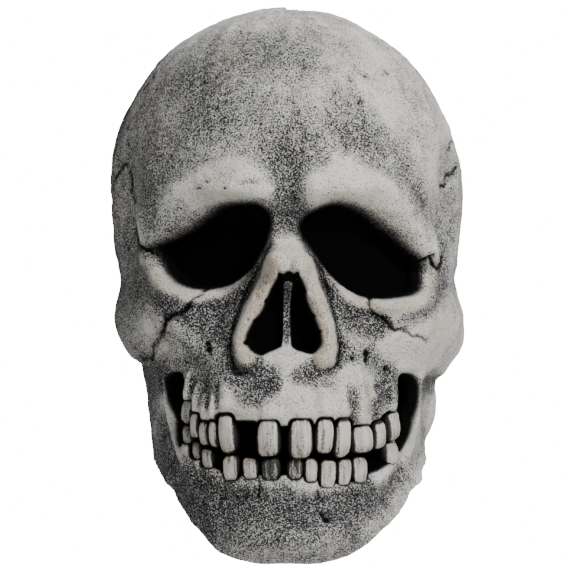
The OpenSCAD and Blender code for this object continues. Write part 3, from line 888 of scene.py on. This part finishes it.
def applyModifiers(item):
    graph = bpy.context.evaluated_depsgraph_get()
    mesh = bpy.data.meshes.new_from_object(item.evaluated_get(graph))
    item.modifiers.clear()
    item.data = mesh


def toFrame(points):
    return points / 1000 + np.array([0, 0, chinZ])


def readVectors(item, name):
    values = np.empty(len(item.data.vertices) * 3, np.float32)
    item.data.vertices.foreach_get(name, values)
    return values.reshape(-1, 3)


def readPoints(item):
    return (readVectors(item, "co").astype(float) - np.array([0, 0, chinZ])) * 1000


def writePoints(item, points):
    item.data.vertices.foreach_set("co", toFrame(points).astype(np.float32).reshape(-1))
    item.data.update()


def shadeSmooth(item):
    item.data.polygons.foreach_set("use_smooth", [True] * len(item.data.polygons))


def paintOn(item, name, values):
    layer = item.data.attributes.new(name, "FLOAT", "POINT")
    layer.data.foreach_set("value", values.astype(np.float32))


# splits the triangles whose sides are longer than wanted where they are
def refine(points, tris, wanted):
    sides = np.sort(np.concatenate([tris[:, [0, 1]], tris[:, [1, 2]], tris[:, [2, 0]]]), 1)
    key = sides[:, 0].astype(np.int64) * len(points) + sides[:, 1]
    first, where = np.unique(key, return_index=True, return_inverse=True)[1:]
    ends = sides[first]
    middle = (points[ends[:, 0]] + points[ends[:, 1]]) / 2
    long = np.linalg.norm(points[ends[:, 0]] - points[ends[:, 1]], axis=1) > wanted(middle)
    added = np.full(len(ends), -1)
    added[long] = len(points) + np.arange(long.sum())
    split = added[where].reshape(3, -1).T
    made = [tris[(split < 0).all(1)]]
    for turn in range(3):
        order = [(turn + k) % 3 for k in range(3)]
        v, m = tris[:, order], split[:, order]
        one = (m[:, 0] >= 0) & (m[:, 1] < 0) & (m[:, 2] < 0)
        made += [np.stack([v[one, 0], m[one, 0], v[one, 2]], 1),
                 np.stack([m[one, 0], v[one, 1], v[one, 2]], 1)]
        two = (m[:, 0] >= 0) & (m[:, 1] >= 0) & (m[:, 2] < 0)
        made += [np.stack([m[two, 0], v[two, 1], m[two, 1]], 1),
                 np.stack([v[two, 0], m[two, 0], m[two, 1]], 1),
                 np.stack([v[two, 0], m[two, 1], v[two, 2]], 1)]
    all3 = (split >= 0).all(1)
    v, m = tris[all3], split[all3]
    made += [np.stack([v[:, 0], m[:, 0], m[:, 2]], 1), np.stack([m[:, 0], v[:, 1], m[:, 1]], 1),
             np.stack([m[:, 2], m[:, 1], v[:, 2]], 1), m]
    return np.concatenate([points, middle[long]]), np.concatenate(made)


def readTris(item):
    mesh = item.data
    corners = np.empty(len(mesh.loops), np.int32)
    mesh.loops.foreach_get("vertex_index", corners)
    return corners.reshape(-1, 3)


def makeSkin(name, front, triangles):
    points, quads = netShell(front)
    parting = np.abs(points[:, 1]) < 0.5 * form["faceVoxel"]
    points[parting, 1] = -0.03 if front else 0.03
    item = meshFrom(name, toFrame(points), quads)
    print(name, len(quads) * 2, "triangles before thinning")
    thin = item.modifiers.new("thin", "DECIMATE")
    thin.ratio = min(1, triangles / (len(quads) * 2))
    item.modifiers.new("even", "TRIANGULATE")
    applyModifiers(item)
    points, tris = readPoints(item), readTris(item)
    old = item.data

    def wanted(spots):
        angle, up, out = unwrap(spots)
        sunk = out - readMap(relief, angle, up)
        line = np.maximum(readMap(ink, angle, up), -readMap(fine, angle, up) - 0.25)
        rim = ease((3.5 - np.abs(readMap(opening, angle, up))) / 3)
        need = np.where((line > 0.05) | (rim > 0), 0.85, 2.6)
        need = np.where(line > 0.3, 0.62, need)
        return np.where(sunk < -1.2, 9.0, need)

    for turn in range(3):
        if len(tris) < 150000:
            points, tris = refine(points, tris, wanted)
            print(name, len(tris), "triangles after refining")
    angle, up, out = unwrap(points)
    sunk = out - readMap(relief, angle, up)
    item.data = meshFrom("rough", toFrame(points), tris).data
    bpy.data.objects.remove(bpy.data.objects["rough"])
    item.data.name = name
    bpy.data.meshes.remove(old)
    push = readMap(fine, angle, up) * ease((sunk + 0.9) / 0.5)
    writePoints(item, points + readVectors(item, "normal") * push[:, None])
    shadeSmooth(item)
    paintOn(item, "inside", ease((-sunk - 1.35) / 0.5) * ease((readMap(opening, angle, up) - 0.8) / 1))
    paintOn(item, "wash", readMap(wash, angle, up))
    paintOn(item, "ink", readMap(ink, angle, up))
    paintOn(item, "warmth", readMap(warmth, angle, up))
    item.data.update()
    print(name, len(item.data.polygons), "triangles")
    return item


# dry-brushed bone over a black wash that also carries painted shade and painted highlights, and bare
# latex on the inside
paintCan = {
    "bone": (204, 201, 195), "warmBone": (178, 165, 148), "grey": (66, 70, 76),
    "light": (232, 229, 222), "black": (10, 12, 15), "ink": (4, 5, 6), "latex": (196, 176, 140),
    "speck": 1350.0, "patch": 190.0, "warm": 38.0, "pebble": 620.0,     # sizes of the noises
    "roughness": 0.66, "sheen": 0.04, "bump": 0.0012,
}


def skinPaint():
    material, wire, shader = newMaterial("paintedLatex")
    tree = material.node_tree
    # the wash level, with the painted shade and painted highlights in it
    washShadeLevel = wire.attribute("wash")
    speck = (wire.noise(paintCan["speck"], 2.0, rough=0.6) - 0.5) * 4.6 + 0.5
    patch = wire.noise(paintCan["patch"], 4.0, rough=0.65) - 0.5
    level = washShadeLevel + patch * 0.8
    dark = ((level - speck) * 1.9 + 0.30).clamp()
    warm = wire.attribute("warmth") * 0.65 + (wire.noise(paintCan["warm"], 2.0) - 0.48) * 2.4
    bone = wire.colour(warm.clamp(), tone(*paintCan["bone"]), tone(*paintCan["warmBone"]))
    grey = wire.colour((level * 0.95 - 0.12).clamp(), bone, tone(*paintCan["grey"]))
    grey = wire.colour(((speck - 0.62) * 1.2).clamp() * 0.55, grey, tone(*paintCan["light"]))
    paint = wire.colour(dark * 0.94, grey, tone(*paintCan["black"]))
    paint = wire.colour(wire.attribute("inside"), paint, tone(*paintCan["latex"]))
    paint = wire.colour(wire.attribute("ink"), paint, tone(*paintCan["ink"]))
    plug(tree, shader, "Base Color", paint)
    plug(tree, shader, "Roughness", paintCan["roughness"] - dark * 0.1)
    shader.inputs["Specular IOR Level"].default_value = paintCan["sheen"]
    pebble = wire.noise(paintCan["pebble"], 3.0, rough=0.6) + speck * 0.15
    bump = wire.add("ShaderNodeBump", None,
                    {"Strength": 0.8, "Distance": paintCan["bump"], "Height": pebble})
    plug(tree, shader, "Normal", bump)
    return material


faceSkin = makeSkin("faceSkin", True, form["faceTriangles"])
backSkin = makeSkin("backSkin", False, form["backTriangles"])
paint = skinPaint()
for piece, node in ((faceSkin, "face_skin"), (backSkin, "back_skin")):
    piece.data.materials.append(paint)
    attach(piece, "mask")
    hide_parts(node)


# teeth: one crown for each cast tooth, with brushed streaks and a dark neck, which is painted shade,
# as are the darker sides and back

crown = {
    "rings": 34, "sides": 44,
    "square": 0.60,         # 1 is round, 0 a block
    "neck": 0.80,           # width at the gum
    "grow": 1.11,           # size over the cast tooth
    "streak": 0.28,         # mm
    "dent": 0.22,
    "stains": {"lower_tooth_06": 0.42, "lower_tooth_07": 0.36, "lower_tooth_01": 0.2,
               "lower_tooth_02": 0.2, "upper_tooth_01": 0.12, "upper_tooth_03": 0.12},
    "bone": (212, 208, 200), "warmBone": (180, 163, 138), "grey": (84, 82, 78),
    "black": (14, 15, 17), "ink": (5, 6, 7),
    "speck": 1300.0, "brush": 900.0, "roughness": 0.5, "sheen": 0.25,
}


def toothAxes(name):
    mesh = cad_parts[name].data
    place = toothPlaces[name]
    rise = np.zeros(3)
    for flat in mesh.polygons:
        way = np.array(flat.normal)
        if abs(way[2]) > 0.8:
            rise += way * math.copysign(flat.area, way[2])
    rise /= np.linalg.norm(rise)
    facing = place["facing"] - rise * (place["facing"] @ rise)
    facing /= np.linalg.norm(facing)
    across = np.cross(rise, facing)
    spots = np.array([v.co for v in mesh.vertices]) * 1000
    spots[:, 2] -= chinZ * 1000
    local = np.stack([spots @ across, spots @ facing, spots @ rise], 1)
    low, high = local.min(0), local.max(0)
    middle = (low + high) / 2
    centre = across * middle[0] + facing * middle[1] + rise * middle[2]
    return centre, np.stack([across, facing, rise]), high - low


def bend(value, power):
    return np.sign(value) * np.abs(value) ** power


def makeTooth(name, number):
    centre, axes, size = toothAxes(name)
    bed = np.random.default_rng(100 + number)
    upper = name.startswith("upper")
    lat = np.linspace(-math.pi / 2, math.pi / 2, crown["rings"] + 1)[:, None]
    lon = np.linspace(0, 2 * math.pi, crown["sides"], endpoint=False)[None, :]
    e = crown["square"]
    x = bend(np.cos(lat), e) * bend(np.cos(lon), e * 0.85)
    y = bend(np.cos(lat), e) * bend(np.sin(lon), e * 1.4)
    z = bend(np.sin(lat), e) * np.ones_like(lon)
    toNeck = z if upper else -z
    taper = 1 - (1 - crown["neck"]) * ease((toNeck + 0.1) / 1.1) - 0.05 * ease((-toNeck - 0.5) / 0.5)
    x = x * taper + 0.03 * bed.normal() * z
    front = ease((y + 0.2) / 0.6)
    y = y * (1 - 0.24 * x ** 2 - 0.20 * np.abs(z) ** 3) + 0.03
    z = z + 0.05 * np.sin(x * 2.2 + bed.uniform(0, 6)) * (np.abs(z) > 0.5)
    phase = bed.uniform(0, 6, 4)
    streak = sum(np.sin(x * k + p + z * 0.8) for k, p in zip((9, 15, 23, 31), phase)) / 4
    dent = sum(np.sin(x * a + z * b + p) for a, b, p in zip((3, 5, 2, 6), (6, 3, 8, 9), phase)) / 4
    half = size / 2 * crown["grow"]
    grow = (crown["streak"] * streak + crown["dent"] * dent) * front
    spots = np.stack([x * (half[0] + 0.35), y * half[1] + grow, z * half[2]], -1)
    inner = spots[1:-1].reshape(-1, 3)
    points = np.concatenate([spots[:1, :1].reshape(1, 3) * [0, 0, 1], inner,
                             spots[-1:, :1].reshape(1, 3) * [0, 0, 1]])
    n, rows = crown["sides"], crown["rings"] - 1
    ring = np.arange(n)
    after = (ring + 1) % n
    tris = [np.stack([np.zeros(n, int), 1 + after, 1 + ring], 1)]
    for r in range(rows - 1):
        a, b = 1 + r * n, 1 + (r + 1) * n
        tris += [np.stack([a + ring, a + after, b + after], 1),
                 np.stack([a + ring, b + after, b + ring], 1)]
    last, top = 1 + (rows - 1) * n, len(points) - 1
    tris.append(np.stack([last + ring, last + after, np.full(n, top)], 1))
    tris = np.concatenate(tris)
    item = meshFrom(name.replace("_", "") + "Crown", toFrame(centre + points @ axes), tris)
    shadeSmooth(item)
    across, toGum = points[:, 0] / half[0], points[:, 2] / half[2] * (1 if upper else -1)
    back = 1 - points[:, 1] / half[1]
    # painted shade darkens each crown at its sides, its neck under the gum, its back and its tip, on
    # top of the wash
    edge = ease((np.abs(across) - 0.70) / 0.28) * 0.9 + ease((toGum - 0.72) / 0.26)
    toothShadeAndWash = edge + ease((back - 0.35) / 0.4) + ease((-toGum - 0.86) / 0.14) * 0.4
    rub = np.concatenate([[0], streak[1:-1].reshape(-1), [0]])
    stain = crown["stains"].get(name, 0)
    paintOn(item, "wash", 0.24 + toothShadeAndWash * 0.9 + 0.34 * rub + 0.16 * ease(-toGum) + stain)
    # painted shade blackens each crown from its sides round to its back
    paintOn(item, "ink", ease((back - 0.42) / 0.4))
    paintOn(item, "warmth", ease(-toGum) * 0.8 + 0.25)
    return item


def toothPaint():
    material, wire, shader = newMaterial("toothPaint")
    tree = material.node_tree
    # the wash level, with the painted shade of each crown in it
    washShadeLevel = wire.attribute("wash")
    speck = (wire.noise(crown["speck"], 2.0) - 0.5) * 3.0 + 0.5
    brushed = (wire.noise(crown["brush"], 3.0, (1, 1, 0.10), 0.7) - 0.5) * 2.6 + 0.5
    dark = ((washShadeLevel - (speck * 0.4 + brushed * 0.6)) * 3.0 + 0.35).clamp()
    bone = wire.colour(wire.attribute("warmth").clamp() * brushed.clamp(), tone(*crown["bone"]),
                       tone(*crown["warmBone"]))
    grey = wire.colour((washShadeLevel * 0.9).clamp(), bone, tone(*crown["grey"]))
    paint = wire.colour(dark * 0.9, grey, tone(*crown["black"]))
    paint = wire.colour(wire.attribute("ink").clamp(), paint, tone(*crown["ink"]))
    plug(tree, shader, "Base Color", paint)
    shader.inputs["Roughness"].default_value = crown["roughness"]
    shader.inputs["Specular IOR Level"].default_value = crown["sheen"]
    bump = wire.add("ShaderNodeBump", None,
                    {"Strength": 0.5, "Distance": 0.0008, "Height": brushed + speck * 0.3})
    plug(tree, shader, "Normal", bump)
    return material


enamel = toothPaint()
for number, name in enumerate(toothNames):
    tooth = makeTooth(name, number)
    tooth.data.materials.append(enamel)
    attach(tooth, "mask")
    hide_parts(name)
print("teeth set")


# liners: screens, tray, tapes and label, each a sheet of cloth glued into the skin

linerRelief = settle(settle(innerRelief, 5.0, "least"), 4.5, "mean")
liners = {          # flat width and length in m, the cut's area in sq m, and the finish
    "eye_screen_left": ((0.088, 0.078), 0.0057, "screenCloth"),
    "eye_screen_right": ((0.090, 0.078), 0.0059, "screenCloth"),
    "nose_screen": ((0.052, 0.050), 0.0021, "screenCloth"),
    "mouth_tray": ((0.185, 0.080), 0.0113, "screenCloth"),
    "seam_tape": ((0.018, 0.567), None, "tapeCloth"),
    "edge_tape_face": ((0.010, 0.296), None, "tapeCloth"),
    "edge_tape_back": ((0.010, 0.239), None, "tapeCloth"),
    "slit_tape_left": ((0.0115, 0.079), None, "tapeCloth"),
    "slit_tape_right": ((0.0115, 0.079), None, "tapeCloth"),
    "care_label": ((0.031, 0.030), None, "labelCloth"),
}


def pieceName(node, ending):
    first, *rest = node.split("_")
    return first + "".join(word.capitalize() for word in rest) + ending


def copyNode(name, piece):
    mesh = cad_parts[name].data
    work = bmesh.new()
    work.from_mesh(mesh)
    bmesh.ops.remove_doubles(work, verts=work.verts, dist=1e-6)
    bmesh.ops.join_triangles(work, faces=work.faces, angle_face_threshold=0.6,
                             angle_shape_threshold=0.7)
    made = bpy.data.meshes.new(piece)
    work.to_mesh(made)
    work.free()
    made.materials.clear()
    item = bpy.data.objects.new(piece, made)
    bpy.context.collection.objects.link(item)
    return item


def smoothOver(item, levels, simple=False):
    over = item.modifiers.new("over", "SUBSURF")
    over.subdivision_type = "SIMPLE" if simple else "CATMULL_CLARK"
    over.levels = levels
    over.render_levels = levels
    applyModifiers(item)
    shadeSmooth(item)


# moves a lining in wherever the modelled skin comes further in than it lies
def tuck(item, thick):
    points = readPoints(item)
    angle, up, out = unwrap(points)
    way = outward(points)
    facing = (readVectors(item, "normal") * way).sum(1)
    limit = readMap(linerRelief, angle, up) - 0.3 - thick * ease(0.5 - facing)
    writePoints(item, points + way * np.minimum(0, limit - out)[:, None])


def weaveCloth(name, colour, pitch, roughness, depth):
    material, wire, shader = newMaterial(name)
    tree = material.node_tree
    place = wire.add("ShaderNodeTexCoord", out=3)
    split = wire.add("ShaderNodeSeparateXYZ", None, {0: place})
    turn = 2 * math.pi / pitch
    waves = [wire.maths("SINE", Wire(tree, split.socket.node.outputs[k]) * turn) for k in range(3)]
    weave = waves[0] * waves[2] + waves[1] * waves[2] + waves[0] * waves[1]
    fluff = wire.noise(1500.0, 2.0)
    shade = (weave * 0.25 + 0.5 + (fluff - 0.5) * 0.5).clamp()
    dim = tuple(c * 0.7 for c in tone(*colour)[:3]) + (1,)
    plug(tree, shader, "Base Color", wire.colour(shade, dim, tone(*colour)))
    shader.inputs["Roughness"].default_value = roughness
    shader.inputs["Specular IOR Level"].default_value = 0.03
    bump = wire.add("ShaderNodeBump", None,
                    {"Strength": 0.5, "Distance": depth, "Height": weave + fluff})
    plug(tree, shader, "Normal", bump)
    return material


weaves = {          # colour, pitch in m, roughness, depth of the weave in m
    "screenCloth": ((5, 5, 6), 0.0009, 0.95, 0.0002),
    "tapeCloth": ((214, 208, 192), 0.0011, 0.9, 0.0003),
    "labelCloth": ((236, 233, 226), 0.0005, 0.8, 0.0001),
    "padCloth": ((58, 61, 66), 0.0016, 0.95, 0.0004),
    "webbing": ((26, 26, 28), 0.0018, 0.7, 0.0004),
    "hookCloth": ((20, 20, 22), 0.0012, 0.6, 0.0002),
}
cloths = {name: weaveCloth(name, *values) for name, values in weaves.items()}
for node, (flat, area, finish) in liners.items():
    piece = copyNode(node, pieceName(node, "Cloth"))
    piece.data.materials.append(cloths[finish])
    smoothOver(piece, 2, simple=finish != "screenCloth")
    tuck(piece, 0.8)
    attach(piece, "mask")
    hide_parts(node)


# foam pads in brushed cloth, swelled a little by a cloth simulation

padding = {"voxel": 0.0045, "shrink": 0.0008, "pressure": 4.0, "frames": 20, "cap": 0.0022,
           "deep": 8.0}     # all in m but this, the pads' thickness in mm


def swell(item):
    start = readVectors(item, "co")
    cloth = item.modifiers.new("fill", "CLOTH")
    cloth.settings.use_pressure = True
    cloth.settings.uniform_pressure_force = padding["pressure"]
    cloth.settings.effector_weights.gravity = 0
    cloth.settings.quality = 5
    scene = bpy.context.scene
    for step in range(1, padding["frames"] + 1):
        scene.frame_set(step)
    applyModifiers(item)
    scene.frame_set(1)
    shift = readVectors(item, "co") - start
    far = np.linalg.norm(shift, axis=1, keepdims=True)
    shift *= np.minimum(1, padding["cap"] / np.maximum(far, 1e-9))
    item.data.vertices.foreach_set("co", (start + shift).reshape(-1))


for node in ("crown_pad", "brow_pad", "side_pad_left", "side_pad_right", "nape_pad", "chin_pad"):
    piece = copyNode(node, pieceName(node, "Foam"))
    tuck(piece, padding["deep"])
    net = piece.modifiers.new("net", "REMESH")
    net.mode = "VOXEL"
    net.voxel_size = padding["voxel"]
    applyModifiers(piece)
    spots = readVectors(piece, "co") - readVectors(piece, "normal") * padding["shrink"]
    piece.data.vertices.foreach_set("co", spots.reshape(-1))
    swell(piece)
    smoothOver(piece, 1)
    piece.data.materials.append(cloths["padCloth"])
    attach(piece, "mask")
    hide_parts(node)
    print(piece.name, "filled")


# rear closure: webbing with sewn rows, hooks on its underside and loops on the skin

closure = {"hookSpacing": 0.0014, "hookHeight": 0.00028, "loopSpacing": 0.0012, "seed": 4,
           "stitch": 0.0028, "thread": 0.00035, "threadColour": (196, 192, 180)}


def startTree(name, inputs):
    tree = bpy.data.node_groups.new(name, "GeometryNodeTree")
    tree.interface.new_socket("Geometry", in_out="INPUT", socket_type="NodeSocketGeometry")
    for label, kind in inputs:
        tree.interface.new_socket(label, in_out="INPUT", socket_type=kind)
    tree.interface.new_socket("Geometry", in_out="OUTPUT", socket_type="NodeSocketGeometry")
    source = tree.nodes.new("NodeGroupInput")
    given = {socket.name: Wire(tree, socket) for socket in source.outputs if socket.name}
    return tree, Wire(tree), given


# one small shape on every point, made real and given its material
def endTree(tree, wire, spots, shape, size, material):
    put = tree.nodes.new("GeometryNodeInstanceOnPoints")
    for label, socket in (("Points", spots.outputs["Points"]), ("Instance", shape.socket),
                          ("Rotation", spots.outputs["Rotation"]), ("Scale", size.socket)):
        tree.links.new(socket, put.inputs[label])
    both = wire.add("GeometryNodeRealizeInstances", None, {0: Wire(tree, put.outputs[0])})
    both = wire.add("GeometryNodeSetMaterial", None, {0: both, "Material": material})
    end = tree.nodes.new("NodeGroupOutput")
    tree.links.new(both.socket, end.inputs[0])
    return tree


def setInputs(modifier, values):
    for socket in modifier.node_group.interface.items_tree:
        if socket.in_out == "INPUT" and socket.name in values:
            modifier[socket.identifier] = values[socket.name]


# spreads small hooks or loops over the faces that look one way
def pileTree(name, material, wireRadius, closed):
    tree, wire, given = startTree(name, [
        ("Spacing", "NodeSocketFloat"), ("Height", "NodeSocketFloat"),
        ("Facing", "NodeSocketVector"), ("Seed", "NodeSocketInt")])
    way = wire.add("GeometryNodeInputNormal")
    dot = wire.add("ShaderNodeVectorMath", {"operation": "DOT_PRODUCT"},
                   {0: way, 1: given["Facing"]}, 1)
    chosen = wire.add("FunctionNodeCompare", {"operation": "GREATER_THAN"}, {0: dot, 1: 0.5})
    spots = tree.nodes.new("GeometryNodeDistributePointsOnFaces")
    spots.distribute_method = "POISSON"
    spots.inputs["Density Max"].default_value = 3e6
    for label, value in (("Mesh", given["Geometry"]), ("Selection", chosen),
                         ("Distance Min", given["Spacing"]), ("Seed", given["Seed"])):
        tree.links.new(value.socket, spots.inputs[label])
    arc = wire.add("GeometryNodeCurveArc", None,
                   {"Resolution": 6, "Radius": 0.5, "Sweep Angle": math.pi if closed else 3.9})
    ring = wire.add("GeometryNodeCurvePrimitiveCircle", None,
                    {"Resolution": 4, "Radius": wireRadius})
    hook = wire.add("GeometryNodeCurveToMesh", None, {"Curve": arc, "Profile Curve": ring,
                                                      "Fill Caps": True})
    hook = wire.add("GeometryNodeTransform", None,
                    {"Geometry": hook, "Rotation": (math.pi / 2, 0, 0)})
    size = wire.add("ShaderNodeCombineXYZ", None,
                    {0: given["Spacing"] * 0.7, 1: given["Spacing"] * 0.7, 2: given["Height"] * 2})
    return endTree(tree, wire, spots, hook, size, material)


def closurePiece(node, piece, finish, body):
    item = copyNode(node, piece)
    item.data.materials.append(cloths[finish])
    soft = item.modifiers.new("soft", "BEVEL")
    soft.width = 0.0003
    soft.segments = 2
    soft.limit_method = "ANGLE"
    applyModifiers(item)
    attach(item, body)
    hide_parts(node)
    return item


def pileOn(node, piece, material, facing, spacing, closed, body):
    item = copyNode(node, piece)
    grow = item.modifiers.new("pile", "NODES")
    grow.node_group = pileTree(piece + "Tree", material, 0.16, closed)
    setInputs(grow, {"Spacing": spacing, "Height": closure["hookHeight"], "Facing": facing,
                     "Seed": closure["seed"]})
    applyModifiers(item)
    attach(item, body)
    print(piece, len(item.data.polygons), "faces")
    return item


closurePiece("strap_anchor", "strapAnchorWebbing", "webbing", "mask")
closurePiece("strap_flap", "strapFlapWebbing", "webbing", "strap")
closurePiece("hook_patch", "hookPatchCloth", "hookCloth", "strap")
closurePiece("loop_patch", "loopPatchCloth", "hookCloth", "mask")
pileOn("hook_patch", "hookPile", cloths["hookCloth"], (0, -1, 0), closure["hookSpacing"], False,
       "strap")
pileOn("loop_patch", "loopPile", cloths["hookCloth"], (0, 1, 0), closure["loopSpacing"], True,
       "mask")


# rows of thread round the sewn end and along the flap's patch
def stitchTree(name, material):
    tree, wire, given = startTree(name, [("Length", "NodeSocketFloat"),
                                         ("Thread", "NodeSocketFloat")])
    curve = wire.add("GeometryNodeMeshToCurve", None, {0: given["Geometry"]})
    spots = tree.nodes.new("GeometryNodeCurveToPoints")
    spots.mode = "LENGTH"
    tree.links.new(curve.socket, spots.inputs["Curve"])
    tree.links.new(given["Length"].socket, spots.inputs["Length"])
    bead = wire.add("GeometryNodeMeshUVSphere", None, {"Segments": 6, "Rings": 5, "Radius": 1.0})
    size = wire.add("ShaderNodeCombineXYZ", None,
                    {0: given["Thread"], 1: given["Thread"], 2: given["Length"] * 0.38})
    return endTree(tree, wire, spots, bead, size, material)


def threadPaint():
    material, wire, shader = newMaterial("thread")
    shade = wire.noise(2500.0, 2.0)
    plug(material.node_tree, shader, "Base Color",
         wire.colour(shade, tone(150, 146, 134), tone(*closure["threadColour"])))
    shader.inputs["Roughness"].default_value = 0.7
    return material


thread = threadPaint()


# path on the outer face of a closure piece, from shares of its width and height
def outerPath(node, shares, lift):
    spots = np.array([v.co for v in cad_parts[node].data.vertices])
    low, high = spots.min(0), spots.max(0)

    def terms(points):
        x = points[:, 0] * 20
        return np.stack([np.ones_like(x), x, x ** 2, x ** 3, x ** 4, points[:, 2]], 1)

    fit = np.linalg.lstsq(terms(spots), spots[:, 1], rcond=None)[0]
    outer = spots[spots[:, 1] > terms(spots) @ fit]
    fit = np.linalg.lstsq(terms(outer), outer[:, 1], rcond=None)[0]
    path = []
    for a, b in zip(shares, shares[1:]):
        for t in np.linspace(0, 1, 24):
            u, v = a[0] + (b[0] - a[0]) * t, a[1] + (b[1] - a[1]) * t
            path.append(low + (high - low) * np.array([u, 0, v]))
    path = np.array(path)
    path[:, 1] = terms(path) @ fit + lift
    return path.tolist()


def sew(piece, path, body):
    mesh = bpy.data.meshes.new(piece)
    mesh.from_pydata(path, [(k, k + 1) for k in range(len(path) - 1)], [])
    item = bpy.data.objects.new(piece, mesh)
    bpy.context.collection.objects.link(item)
    rows = item.modifiers.new("rows", "NODES")
    rows.node_group = stitchTree(piece + "Tree", thread)
    setInputs(rows, {"Length": closure["stitch"], "Thread": closure["thread"]})
    applyModifiers(item)
    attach(item, body)
    return item


sew("anchorStitches", outerPath("strap_anchor", [(0.12, 0.12), (0.88, 0.12), (0.88, 0.88),
                                                 (0.12, 0.88), (0.12, 0.12), (0.88, 0.88)], 0.0),
    "mask")
sew("flapStitches", outerPath("strap_flap", [(0.50, 0.10), (0.95, 0.10), (0.95, 0.90),
                                             (0.50, 0.90), (0.50, 0.10)], 0.0), "strap")
print("closure sewn")


# light, floor and air

def makeStudio():
    world = bpy.data.worlds.new("air")
    bpy.context.scene.world = world
    world.use_nodes = True
    tree = world.node_tree
    tree.nodes.clear()
    wire = Wire(tree)
    white = wire.add("ShaderNodeBackground", None, {0: (1, 1, 1, 1), 1: studio["backdrop"]})
    soft = wire.add("ShaderNodeBackground", None, {0: (0.92, 0.96, 1, 1), 1: studio["soft"]})
    camera = wire.add("ShaderNodeLightPath")
    mix = wire.add("ShaderNodeMixShader", None, {0: camera, 1: soft, 2: white})
    out = tree.nodes.new("ShaderNodeOutputWorld")
    tree.links.new(mix.socket, out.inputs[0])
    aim = Vector((0, 0, chinZ + 0.14))
    for name, place, size, power in studio["lamps"]:
        data = bpy.data.lights.new(name, "AREA")
        data.size = size
        data.energy = power
        lamp = bpy.data.objects.new(name, data)
        lamp.location = place
        lamp.rotation_euler = (aim - Vector(place)).to_track_quat("-Z", "Y").to_euler()
        bpy.context.collection.objects.link(lamp)
    bpy.ops.mesh.primitive_circle_add(vertices=64, radius=1.4, fill_type="NGON",
                                      location=(0, 0, chinZ - studio["floorDrop"]))
    floor = bpy.context.object
    floor.name = "floor"
    material, wire, shader = newMaterial("paleFloor")
    shader.inputs["Base Color"].default_value = (0.8, 0.8, 0.79, 1)
    floor.data.materials.append(material)


makeStudio()
